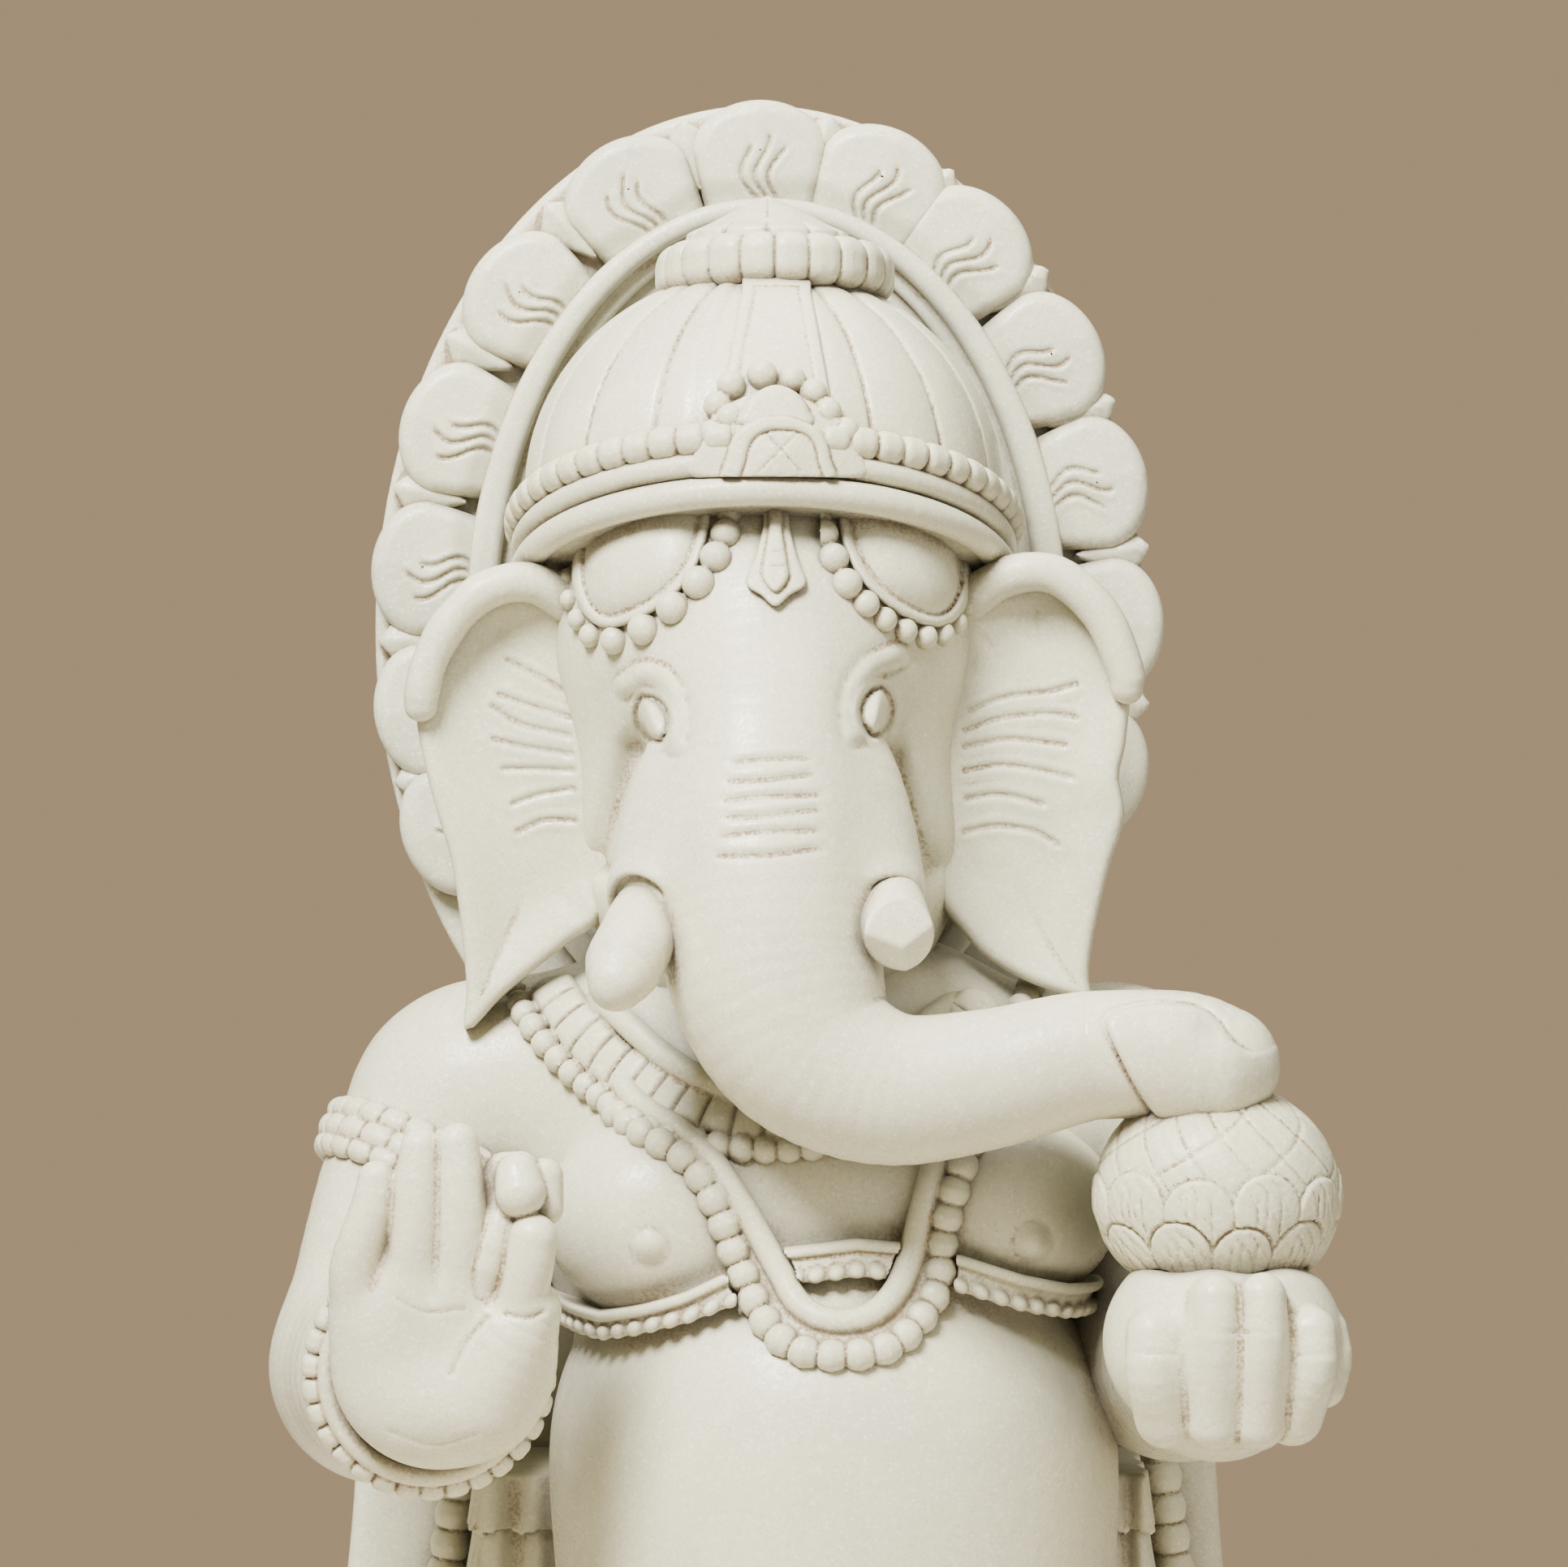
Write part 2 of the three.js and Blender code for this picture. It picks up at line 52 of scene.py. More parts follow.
SHIFT_Y = 1000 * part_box("plinth")[1][1] - PLINTH_BACK
SHARP = math.radians(60)
BLOCK = 4  # the mesher looks at the field in blocks of this many cells a side


# ---------------------------------------------------------------- distances

def norm(v):
    return np.sqrt(np.einsum("ij,ij->i", v, v))


def blend(a, b, k):
    """Both solids, joined with a fillet of size k."""
    h = np.clip(0.5 + 0.5 * (b - a) / k, 0.0, 1.0)
    return b + (a - b) * h - k * h * (1.0 - h)


def common(a, b, k=1.0):
    return -blend(-a, -b, k)


def ramp(x):
    x = np.clip(x, 0.0, 1.0)
    return x * x * (3.0 - 2.0 * x)


def from_joint(t):
    """How far t is from a whole number, where one tooth or lobe meets the next."""
    return 0.5 - np.abs(t - np.floor(t) - 0.5)


def line(d, width, depth):
    """How much an incised line of this width takes off, at distance d from its middle."""
    return depth * np.exp(-(d / width) ** 2)


def egg(p, at, radii, lean=0.0):
    q = p - np.array(at, np.float32)
    if lean:
        c, s = math.cos(lean), math.sin(lean)
        q = np.stack([c * q[:, 0] + s * q[:, 2], q[:, 1], c * q[:, 2] - s * q[:, 0]], 1)
    r = np.array(radii, np.float32)
    k0 = norm(q / r)
    k1 = norm(q / (r * r))
    return k0 * (k0 - 1.0) / np.maximum(k1, 1e-6)


def catmull(stops, count, closed=False):
    """A smooth run of points through the stops, evenly spaced."""
    s = np.array(stops, float)
    n = len(s)
    spans = n if closed else n - 1
    out = []
    for i in range(spans):
        if closed:
            a, b, c, d = (s[(i + j) % n] for j in (-1, 0, 1, 2))
        else:
            b, c = s[i], s[i + 1]
            a = s[i - 1] if i else 2 * b - c
            d = s[i + 2] if i + 2 < n else 2 * c - b
        t = np.linspace(0, 1, 12, endpoint=False)[:, None]
        out.append(0.5 * (2 * b + (c - a) * t + (2 * a - 5 * b + 4 * c - d) * t ** 2
                          + (3 * b - a - 3 * c + d) * t ** 3))
    out.append(s[:1] if closed else s[-1:])
    dense = np.concatenate(out)
    run = np.concatenate([[0], np.cumsum(np.linalg.norm(np.diff(dense[:, :3], axis=0), axis=1))])
    even = np.linspace(0, run[-1], count)
    return np.stack([np.interp(even, run, dense[:, j]) for j in range(dense.shape[1])], 1)


class Route:
    """A smooth route through stops (x, y, z) or (x, y, z, radius)."""

    def __init__(self, stops, count=24, closed=False):
        self.points = catmull(stops, count, closed).astype(np.float32)
        steps = np.linalg.norm(np.diff(self.points[:, :3], axis=0), axis=1)
        self.run = np.concatenate([[0], np.cumsum(steps)]).astype(np.float32)
        self.length = float(self.run[-1])

    def nearest(self, p):
        """Distance to the route, how far along it, and its radius there."""
        best = np.full(len(p), 1e12, np.float32)
        along = np.zeros(len(p), np.float32)
        radius = np.zeros(len(p), np.float32)
        pts = self.points
        for i in range(len(pts) - 1):
            a, ab = pts[i, :3], pts[i + 1, :3] - pts[i, :3]
            q = p - a
            t = np.clip(q @ ab / (ab @ ab), 0.0, 1.0)
            q -= t[:, None] * ab
            d = np.einsum("ij,ij->i", q, q)
            if pts.shape[1] > 3:
                r = pts[i, 3] + t * (pts[i + 1, 3] - pts[i, 3])
                near = np.sqrt(d) - r < best
                best[near] = (np.sqrt(d) - r)[near]
                radius[near] = r[near]
            else:
                near = d < best
                best[near] = d[near]
            along[near] = (self.run[i] + t * (self.run[i + 1] - self.run[i]))[near]
        gap = best if pts.shape[1] > 3 else np.sqrt(best)
        return gap, along, radius

    def cord(self, p, radius):
        return self.nearest(p)[0] - radius

    def limb(self, p):
        return self.nearest(p)[0]


def limb(stops, count=16):
    return Route(stops, count).limb


def flat(p):
    """Places seen from the front, for outlines drawn in X and Z."""
    return np.stack([p[:, 0], np.zeros(len(p), np.float32), p[:, 2]], 1)


def drawn(stops, count=20, closed=False):
    """A line drawn on the front, given in X and Z."""
    return Route([(x, 0.0, z) for x, z in stops], count, closed)


def outline(stops, count=48):
    """Signed distance to a closed outline in X and Z."""
    pts = catmull([(x, 0.0, z) for x, z in stops], count, True)[:, (0, 2)].astype(np.float32)

    def distance(p):
        x, z = p[:, 0], p[:, 2]
        best = np.full(len(p), 1e12, np.float32)
        inside = np.zeros(len(p), bool)
        for (ax, az), (bx, bz) in zip(pts[:-1], pts[1:]):
            ex, ez = bx - ax, bz - az
            t = np.clip(((x - ax) * ex + (z - az) * ez) / (ex * ex + ez * ez), 0, 1)
            best = np.minimum(best, (x - ax - t * ex) ** 2 + (z - az - t * ez) ** 2)
            crosses = ((az > z) != (bz > z)) & (x < ex * (z - az) / (ez if ez else 1e-9) + ax)
            inside ^= crosses
        d = np.sqrt(best)
        return np.where(inside, -d, d)
    return distance


def drape(field, places, proud):
    """The places, given in X and Z, set on the front of a solid and raised a little."""
    p = np.array([(x, -420.0, z) for x, z in places], np.float32)
    for _ in range(90):
        p[:, 1] += 0.75 * np.maximum(field(p), -20)
    p[:, 1] -= proud
    return [tuple(q) for q in p.tolist()]


# ---------------------------------------------------------------- meshing

def mesh_of(field, low, high, cell):
    """Points and four-sided faces of the surface where the field is zero."""
    low = np.array(low, np.float32) - 3 * cell
    high = np.array(high, np.float32) + 3 * cell
    blocks = np.ceil((high - low) / (cell * BLOCK)).astype(int)
    grid = np.empty(blocks * BLOCK, np.float32)
    reach = cell * BLOCK * 0.87 * 1.6
    idx = np.stack(np.meshgrid(*[np.arange(b) for b in blocks], indexing="ij"), -1).reshape(-1, 3)
    half = (BLOCK - 1) / 2
    centres = (low + cell * (idx * BLOCK + half)).astype(np.float32)
    rough = evaluate(field, centres)
    coarse = np.where(rough < 0, -reach, reach).reshape(blocks)
    grid[:] = coarse.repeat(BLOCK, 0).repeat(BLOCK, 1).repeat(BLOCK, 2)
    near = idx[np.abs(rough) < reach]
    offs = np.stack(np.meshgrid(*[np.arange(BLOCK)] * 3, indexing="ij"), -1).reshape(-1, 3)
    cells = (near[:, None, :] * BLOCK + offs).reshape(-1, 3)
    grid[cells[:, 0], cells[:, 1], cells[:, 2]] = evaluate(
        field, (low + cell * cells).astype(np.float32))
    return surface(grid, low, cell)


def evaluate(field, points, chunk=60000):
    parts = [field(points[i:i + chunk]) for i in range(0, len(points), chunk)]
    return np.concatenate(parts).astype(np.float32)


def surface(grid, low, cell):
    inside = grid < 0
    nx, ny, nz = grid.shape
    count = np.zeros((nx - 1, ny - 1, nz - 1), np.int8)
    corners = [(i, j, k) for i in (0, 1) for j in (0, 1) for k in (0, 1)]
    for i, j, k in corners:
        count += inside[i:nx - 1 + i, j:ny - 1 + j, k:nz - 1 + k]
    active = (count > 0) & (count < 8)
    where = np.argwhere(active)
    number = np.full(active.shape, -1, np.int64)
    number[active] = np.arange(len(where))
    total = np.zeros((len(where), 3), np.float32)
    hits = np.zeros(len(where), np.float32)
    for a in corners:
        for axis in range(3):
            if a[axis]:
                continue
            b = list(a)
            b[axis] = 1
            va = grid[where[:, 0] + a[0], where[:, 1] + a[1], where[:, 2] + a[2]]
            vb = grid[where[:, 0] + b[0], where[:, 1] + b[1], where[:, 2] + b[2]]
            hit = (va < 0) != (vb < 0)
            t = va[hit] / (va[hit] - vb[hit])
            step = np.zeros((len(t), 3), np.float32) + np.array(a, np.float32)
            step[:, axis] = t
            total[hit] += step
            hits[hit] += 1
    points = low + cell * (where + total / hits[:, None])
    faces = []
    for axis in range(3):
        u, v = (axis + 1) % 3, (axis + 2) % 3
        first = [slice(1, -1)] * 3
        second = [slice(1, -1)] * 3
        first[axis] = slice(0, -1)
        second[axis] = slice(1, None)
        a, b = inside[tuple(first)], inside[tuple(second)]
        edge = np.argwhere(a != b)
        forward = a[edge[:, 0], edge[:, 1], edge[:, 2]]
        base = edge + 1
        base[:, axis] -= 1
        ring = []
        for du, dv in ((-1, -1), (0, -1), (0, 0), (-1, 0)):
            c = base.copy()
            c[:, u] += du
            c[:, v] += dv
            ring.append(number[c[:, 0], c[:, 1], c[:, 2]])
        quad = np.stack(ring, 1)
        quad[~forward] = quad[~forward][:, ::-1]
        faces.append(quad)
    return points.astype(np.float32), np.concatenate(faces)


def settle(field, points, rounds=2, feel=0.25):
    """Slide the points onto the exact surface."""
    for _ in range(rounds):
        value = evaluate(field, points)
        slope = np.stack([
            evaluate(field, points + np.eye(3, dtype=np.float32)[a] * feel) - value
            for a in range(3)], 1) / feel
        steep = np.maximum(np.einsum("ij,ij->i", slope, slope), 0.3)
        move = -np.clip(value / steep, -1.2, 1.2)
        points = points + move[:, None] * slope
    return points


def carve(node, field, low, high, cell, stone):
    """Mesh a solid within a box and stand it in for its CAD node."""
    name, (material, slot) = node + "_carving", stone
    points, faces = mesh_of(field, low, high, cell)
    points = settle(field, points, 2)
    points[:, 1] += SHIFT_Y
    mesh = bpy.data.meshes.new(name)
    mesh.vertices.add(len(points))
    mesh.vertices.foreach_set("co", (points * MM).ravel())
    mesh.loops.add(4 * len(faces))
    mesh.loops.foreach_set("vertex_index", faces.ravel().astype(np.int32))
    mesh.polygons.add(len(faces))
    mesh.polygons.foreach_set("loop_start", np.arange(0, 4 * len(faces), 4, dtype=np.int32))
    mesh.update(calc_edges=True)
    mesh.polygons.foreach_set("use_smooth", np.ones(len(faces), bool))
    mesh.set_sharp_from_angle(angle=SHARP)
    mesh.materials.append(material)
    piece = bpy.data.objects.new(name, mesh)
    bpy.context.scene.collection.objects.link(piece)
    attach(piece, "root")
    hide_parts(node)


def box_mm(node):
    """A node's box in the figure's millimetres."""
    low, high = (np.array(corner) * 1000 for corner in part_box(node))
    low[1] -= SHIFT_Y
    high[1] -= SHIFT_Y
    return low, high


# ---------------------------------------------------------------- marble

CLOUD_GREY, WARM_CLOUD = (0.47, 0.465, 0.39), (0.74, 0.64, 0.49)
BRIGHT_GRAIN, DIM_GRAIN, PEPPER = (0.92, 0.90, 0.78), (0.50, 0.48, 0.39), (0.40, 0.375, 0.31)
# the crevice colour is brown dust and painted shade; the sheltered colour is grey grime and painted shade
DUST_AND_CREVICE_SHADE, GRIME_AND_SHADE = (0.27, 0.175, 0.09), (0.27, 0.255, 0.215)
SPECK, STAIN = (0.15, 0.13, 0.11), (0.33, 0.34, 0.33)


def marble(name, tone, grey, dust_shade_strength, rough, bump=1.0):
    """White coarse-grained marble: clouding, grains that glint, specks, brown dust with painted shade in
    the crevices, and grey grime with painted shade where the figure shelters itself.

    Returned with the name it was given, as Blender may number the material's own.
    """
    mat = bpy.data.materials.new(name)
    mat.use_nodes = True
    nodes, links = mat.node_tree.nodes, mat.node_tree.links
    nodes.clear()
    out = nodes.new("ShaderNodeOutputMaterial")
    shader = nodes.new("ShaderNodeBsdfPrincipled")
    shader.inputs["IOR"].default_value = 1.5
    shader.inputs["Specular IOR Level"].default_value = 0.45
    links.new(shader.outputs[0], out.inputs[0])
    place = nodes.new("ShaderNodeTexCoord").outputs["Object"]

    def noise(scale, detail=3.0, roughness=0.55, distortion=0.0):
        node = nodes.new("ShaderNodeTexNoise")
        node.inputs["Scale"].default_value = scale
        node.inputs["Detail"].default_value = detail
        node.inputs["Roughness"].default_value = roughness
        node.inputs["Distortion"].default_value = distortion
        links.new(place, node.inputs["Vector"])
        return node.outputs["Fac"]

    def span(value, low, high, to_low=0.0, to_high=1.0):
        node = nodes.new("ShaderNodeMapRange")
        node.interpolation_type = "SMOOTHSTEP"
        for key, number in (("From Min", low), ("From Max", high), ("To Min", to_low), ("To Max", to_high)):
            node.inputs[key].default_value = number
        links.new(value, node.inputs["Value"])
        return node.outputs["Result"]

    def maths(kind, a, b):
        node = nodes.new("ShaderNodeMath")
        node.operation = kind
        for socket, value in zip(node.inputs, (a, b)):
            if isinstance(value, (int, float)):
                socket.default_value = value
            else:
                links.new(value, socket)
        return node.outputs[0]

    def mix(amount, base, colour):
        node = nodes.new("ShaderNodeMix")
        node.data_type = "RGBA"
        links.new(amount, node.inputs[0])
        if isinstance(base, tuple):
            node.inputs[6].default_value = base + (1.0,)
        else:
            links.new(base, node.inputs[6])
        node.inputs[7].default_value = colour + (1.0,)
        return node.outputs[2]

    # clouds of cooler grey, faint grey veins, then crystal grains of 1 to 2 mm
    cloud = span(noise(7.0, 4.0, 0.6, 0.6), 0.42, 0.72, 0.0, grey)
    colour = mix(cloud, tone, CLOUD_GREY)
    warm = span(noise(3.2, 3.0, 0.5, 0.3), 0.45, 0.75, 0.0, 0.35)
    colour = mix(warm, colour, WARM_CLOUD)
    grain = nodes.new("ShaderNodeTexVoronoi")
    grain.inputs["Scale"].default_value = 620.0
    links.new(place, grain.inputs["Vector"])
    grain_tone = nodes.new("ShaderNodeSeparateColor")
    links.new(grain.outputs["Color"], grain_tone.inputs[0])
    bright = span(grain_tone.outputs[0], 0.78, 1.0, 0.0, 0.55)
    colour = mix(bright, colour, BRIGHT_GRAIN)
    dim = span(grain_tone.outputs[1], 0.72, 1.0, 0.0, 0.22)
    colour = mix(dim, colour, DIM_GRAIN)

    # fine pepper of grey grains, in patches
    pepper = maths("MULTIPLY", span(noise(820.0, 2.0, 0.7), 0.54, 0.70),
                   span(noise(15.0, 4.0, 0.7), 0.38, 0.66, 0.12, 0.62))
    colour = mix(pepper, colour, PEPPER)

    # brown dust with painted shade in the crevices: darkened where the surface is folded tight or something
    # stands close
    pocket = nodes.new("ShaderNodeAmbientOcclusion")
    pocket.samples = 6
    pocket.inputs["Distance"].default_value = 0.016
    closed = maths("SUBTRACT", 1.0, pocket.outputs["AO"])
    bend = nodes.new("ShaderNodeNewGeometry").outputs["Pointiness"]
    crease = span(maths("SUBTRACT", 0.5, bend), 0.002, 0.018)
    patchy = maths("MULTIPLY", span(noise(38.0, 5.0, 0.65), 0.35, 0.66, 0.35, 1.1),
                   span(noise(520.0, 2.0, 0.6), 0.42, 0.60, 0.45, 1.2))
    tight = maths("ADD", span(closed, 0.16, 0.58), maths("MULTIPLY", crease, 0.8))
    dust_and_shade = maths("MULTIPLY", tight, patchy)
    # painted shade: the crevice mask darkens the marble towards the brown dust colour
    colour = mix(maths("MINIMUM", maths("MULTIPLY", dust_and_shade, dust_shade_strength), 0.9), colour, DUST_AND_CREVICE_SHADE)

    # grey grime with painted shade where the figure shelters itself: darker under overhangs and between
    # parts
    shelter = nodes.new("ShaderNodeAmbientOcclusion")
    shelter.samples = 6
    shelter.inputs["Distance"].default_value = 0.13
    sheltered_shade = span(maths("SUBTRACT", 1.0, shelter.outputs["AO"]), 0.30, 0.72, 0.0, 0.85)
    grime_and_shade = maths("MULTIPLY", sheltered_shade, span(noise(11.0, 5.0, 0.7), 0.25, 0.62, 0.45, 1.0))
    # painted shade: the sheltered mask greys the marble under the trunk and other overhangs
    colour = mix(grime_and_shade, colour, GRIME_AND_SHADE)

    # black mineral specks and a few soft grey stains
    speck = nodes.new("ShaderNodeTexVoronoi")
    speck.inputs["Scale"].default_value = 34.0
    links.new(place, speck.inputs["Vector"])
    speck_size = maths("MULTIPLY", noise(9.0, 1.0), 0.042)
    dot = maths("LESS_THAN", speck.outputs["Distance"], maths("SUBTRACT", speck_size, 0.012))
    colour = mix(maths("MULTIPLY", dot, 0.7), colour, SPECK)
    stain = span(noise(16.0, 4.0, 0.7, 0.4), 0.71, 0.82, 0.0, 0.65)
    colour = mix(stain, colour, STAIN)
    links.new(colour, shader.inputs["Base Color"])

    sheen = maths("SUBTRACT", span(grain_tone.outputs[2], 0.0, 1.0, rough + 0.1, rough - 0.1),
                  maths("MULTIPLY", span(noise(24.0, 3.0), 0.35, 0.65), 0.08))
    links.new(maths("ADD", sheen, maths("MULTIPLY", dust_and_shade, 0.3)), shader.inputs["Roughness"])

    tooling = nodes.new("ShaderNodeBump")
    tooling.inputs["Strength"].default_value = 0.30 * bump
    tooling.inputs["Distance"].default_value = 0.0012
    links.new(maths("ADD", noise(130.0, 4.0, 0.6), maths("MULTIPLY", noise(26.0, 3.0), 1.4)),
              tooling.inputs["Height"])
    crystal = nodes.new("ShaderNodeBump")
    crystal.inputs["Strength"].default_value = 0.22 * bump
    crystal.inputs["Distance"].default_value = 0.0004
    links.new(grain_tone.outputs[1], crystal.inputs["Height"])
    links.new(tooling.outputs[0], crystal.inputs["Normal"])
    links.new(crystal.outputs[0], shader.inputs["Normal"])
    return mat, name


SMOOTH = marble("marble_smooth", (0.775, 0.745, 0.535), 0.34, 1.0, 0.40)
CARVED = marble("marble_carved", (0.745, 0.71, 0.49), 0.34, 1.1, 0.50, 1.6)
SLAB = marble("marble_slab", (0.745, 0.725, 0.535), 0.50, 1.05, 0.46)
BASE = marble("marble_base", (0.72, 0.69, 0.49), 0.45, 0.9, 0.5)


# ---------------------------------------------------------------- reliefs

def profile(z, heights, values):
    """A measure that changes with height, or along X, given at a few places."""
    return np.interp(z, heights, values).astype(np.float32)


def slab(edge, depth, low, high, rounding):
    """A flat shape (edge is negative inside it) between two depths, with rounded borders."""
    a = edge + rounding
    b = np.abs(depth - (low + high) / 2) - (high - low) / 2 + rounding
    return np.minimum(np.maximum(a, b), 0) + np.hypot(np.maximum(a, 0), np.maximum(b, 0)) - rounding


def oval(u, v, ru, rv):
    k0 = np.hypot(u / ru, v / rv)
    k1 = np.hypot(u / ru ** 2, v / rv ** 2)
    return k0 * (k0 - 1.0) / np.maximum(k1, 1e-6)


def pearls(places):
    """Separate round beads at (x, y, z, radius)."""
    spots = np.array(places, np.float32)

    def field(p):
        best = np.full(len(p), 1e6, np.float32)
        for x, y, z, r in spots:
            best = np.minimum(best, norm(p - np.array((x, y, z), np.float32)) - r)
        return best
    return field


# ---------------------------------------------------------------- halo

HALO_X, HALO_Z = -10.0, 915.0
DISC_LOW, DISC_HIGH = box_mm("halo_disc")
FACE, BACK = DISC_LOW[1], DISC_HIGH[1]
DISC_X = (DISC_LOW[0] + DISC_HIGH[0]) / 2
DISC_RX, DISC_RZ = (DISC_HIGH[0] - DISC_LOW[0]) / 2, DISC_HIGH[2] - HALO_Z
RIDGE_OUT, RIDGE_IN = (172.0, 246.0), (154.0, 234.0)
PETAL_RING, CAD_RING = (198.0, 272.5), (192.5, 274.0)
BUDS_OUT = 1.045
PETAL_NAMES = (["halo_petal_left_%d" % i for i in range(6, 0, -1)] + ["halo_petal_top"]
               + ["halo_petal_right_%d" % i for i in range(1, 7)])
# how far each petal is turned on round the oval from its place in the CAD, in radians
PETAL_TURNS = (0.08, 0.10, 0.115, 0.115, 0.12, 0.06, 0.02, 0.01, 0.035, 0.06, 0.07, 0.08, 0.05)


def petal_place(name, turn):
    """The CAD petal's middle, moved a little round the oval as the carver did."""
    low, high = box_mm(name)
    x = ((low[0] + high[0]) / 2 - HALO_X) / CAD_RING[0]
    z = ((low[2] + high[2]) / 2 - HALO_Z) / CAD_RING[1]
    angle, far = math.atan2(z, x) + turn, math.hypot(x, z)
    return HALO_X + PETAL_RING[0] * far * math.cos(angle), HALO_Z + PETAL_RING[1] * far * math.sin(angle)


def round_halo(p, radii):
    """Distance to an oval about the halo's middle."""
    return oval(p[:, 0] - HALO_X, p[:, 2] - HALO_Z, *radii)


def halo_frame(p, x, z):
    """Along and away from the oval at a place on it."""
    nx, nz = (x - HALO_X) / PETAL_RING[0] ** 2, (z - HALO_Z) / PETAL_RING[1] ** 2
    size = math.hypot(nx, nz)
    nx, nz = nx / size, nz / size
    dx, dz = p[:, 0] - x, p[:, 2] - z
    return dx * nz - dz * nx, dx * nx + dz * nz


PETALS = [petal_place(name, turn) for name, turn in zip(PETAL_NAMES, PETAL_TURNS)]


def bud(p, x, z):
    """A small pointed petal with a ridge, seen between two large ones."""
    along, away = halo_frame(p, x, z)
    side = np.abs(along)
    edge = np.maximum((side - 0.52 * (away + 27)) / 1.13, (side + 1.2 * (away - 18)) / 1.56)
    roof = FACE - 13 + 0.45 * side + 0.10 * np.abs(away - 4)
    return slab(edge, p[:, 1], roof, FACE + 8, 1.5)


def halo_disc_field(p):
    edge = oval(p[:, 0] - DISC_X, p[:, 2] - HALO_Z, DISC_RX - 1, DISC_RZ)
    tooled = 0.5 * np.sin(p[:, 0] / 9.0 + 2 * np.sin(p[:, 2] / 31)) * np.sin(p[:, 2] / 12.0)
    body = slab(edge, p[:, 1], FACE + 1 + 0.4 * tooled, BACK - 0.8 + 0.5 * tooled, 5)
    inner = round_halo(p, RIDGE_IN)
    for (ax, az), (bx, bz) in zip(PETALS[:-1], PETALS[1:]):
        mx, mz = (ax + bx) / 2, (az + bz) / 2
        leaf = bud(p, HALO_X + (mx - HALO_X) * BUDS_OUT, HALO_Z + (mz - HALO_Z) * BUDS_OUT)
        leaf = np.maximum(leaf, p[:, 1] - BACK + 14)
        body = np.where(leaf < 12, blend(body, np.maximum(leaf, -inner), 1.5), body)
    return body


def halo_rim_field(p):
    out, inn = round_halo(p, RIDGE_OUT), round_halo(p, RIDGE_IN)
    band = np.maximum(out, -inn)
    ridge = slab(band, p[:, 1], FACE - 18, FACE + 4, 5.5)
    step = slab(np.maximum(inn, -inn - 9), p[:, 1], FACE - 7, FACE + 4, 2.5)
    return blend(ridge, step, 3)


def petal_field(x, z, turn):
    def field(p):
        along, away = halo_frame(p, x, z)
        tapered = along / (1 - 0.0042 * np.clip(-away, 0, 30))
        edge = oval(tapered, np.where(away > -3, away, 0.25 * away - 2.25), 39.0, 29.5)
        face = FACE - 18.5 + 5 * np.clip(1 + edge / 9, 0, 2) ** 2 + 0.06 * np.abs(along)
        face = face + 4 * ramp((-away - 14) / 16)
        body = slab(edge, p[:, 1], face, FACE + 3, 3)
        veins = np.zeros(len(p), np.float32)
        for j, reach in ((-1, 5.0), (0, 11.0), (1, 3.0)):
            middle = 10.0 * j + turn * 3 + 4.6 * np.sin((away + 8 * turn) / 6.6) + 0.16 * away * j
            ends = ramp((reach - away) / 5) * ramp((away + 29) / 4)
            veins += line((along - middle) * 0.85, 1.3, 2.0) * ends
            veins -= line((along - middle - 3.0) * 0.85, 2.0, 0.6) * ends
        ring = round_halo(p, (RIDGE_OUT[0] - 3, RIDGE_OUT[1] - 3))
        return common(body + np.where(p[:, 1] < FACE - 6, veins, 0), -ring, 1.2)
    return field


carve("halo_disc", halo_disc_field, (DISC_X - DISC_RX - 4, FACE - 18, DISC_LOW[2] - 2),
      (DISC_X + DISC_RX + 14, BACK + 2, DISC_HIGH[2] + 8), 3.0, SLAB)
carve("halo_rim", halo_rim_field, (HALO_X - 175, FACE - 16, HALO_Z - 249),
      (HALO_X + 175, FACE + 6, HALO_Z + 249), 2.2, SLAB)
for index, (name, (px, pz)) in enumerate(zip(PETAL_NAMES, PETALS)):
    turn = -1 if px < HALO_X - 20 else 1
    carve(name, petal_field(px, pz, turn * (0.8 + 0.4 * math.sin(5.1 * index))),
          (px - 42, FACE - 20, pz - 42), (px + 42, FACE + 5, pz + 42), 1.5, SLAB)


# ---------------------------------------------------------------- crown

DOME = ((-11, -20, 986), (131, 128, 122))
TILT = 0.36
FIRST_GORE, GORE = 27.5, 21.0  # degrees round the dome


def seam(p, level):
    """Height above the sloping line where the crown meets the head."""
    return p[:, 2] - level + TILT * (p[:, 1] + 20)


def dome_skin(p):
    """Round above its middle, straighter below."""
    q = p.copy()
    q[:, 2] = np.where(q[:, 2] < DOME[0][2], DOME[0][2] + 0.55 * (q[:, 2] - DOME[0][2]), q[:, 2])
    return egg(q, *DOME)


def dome_field(p):
    x, y = p[:, 0] - DOME[0][0], p[:, 1] - DOME[0][1]
    azimuth = np.degrees(np.arctan2(np.abs(x), -y))
    step = (azimuth - FIRST_GORE) / GORE
    off = step - np.round(step)
    reach = np.hypot(x, y) * math.radians(GORE)
    shown = ramp((step + 0.6) * 4)
    groove = line(off * reach, 1.3, 2.0) * shown
    swell = 1.8 * (1 - 4 * (np.abs(off) - 0.5) ** 2) * shown * ramp(reach / 20)
    return common(dome_skin(p) + groove - swell + 0.8, -seam(p, 928), 1)


def strap_field(p):
    h = dome_skin(p)
    half = profile(p[:, 2], (1000, 1029, 1090), (35, 28.5, 18.5))
    edge = np.maximum(np.abs(p[:, 0] + 4) - half, p[:, 2] - 1100)
    lift = 3.4 - 1.0 * ramp((-edge - 5) / 1.5)
    return np.maximum(slab(edge, h, -8, lift, 1.3), np.maximum(p[:, 1] + 20, 985 - p[:, 2]))


RING_AT = (-5, -18, 1094)
RING_LOBES, FINIAL_LOBES = 21, 11


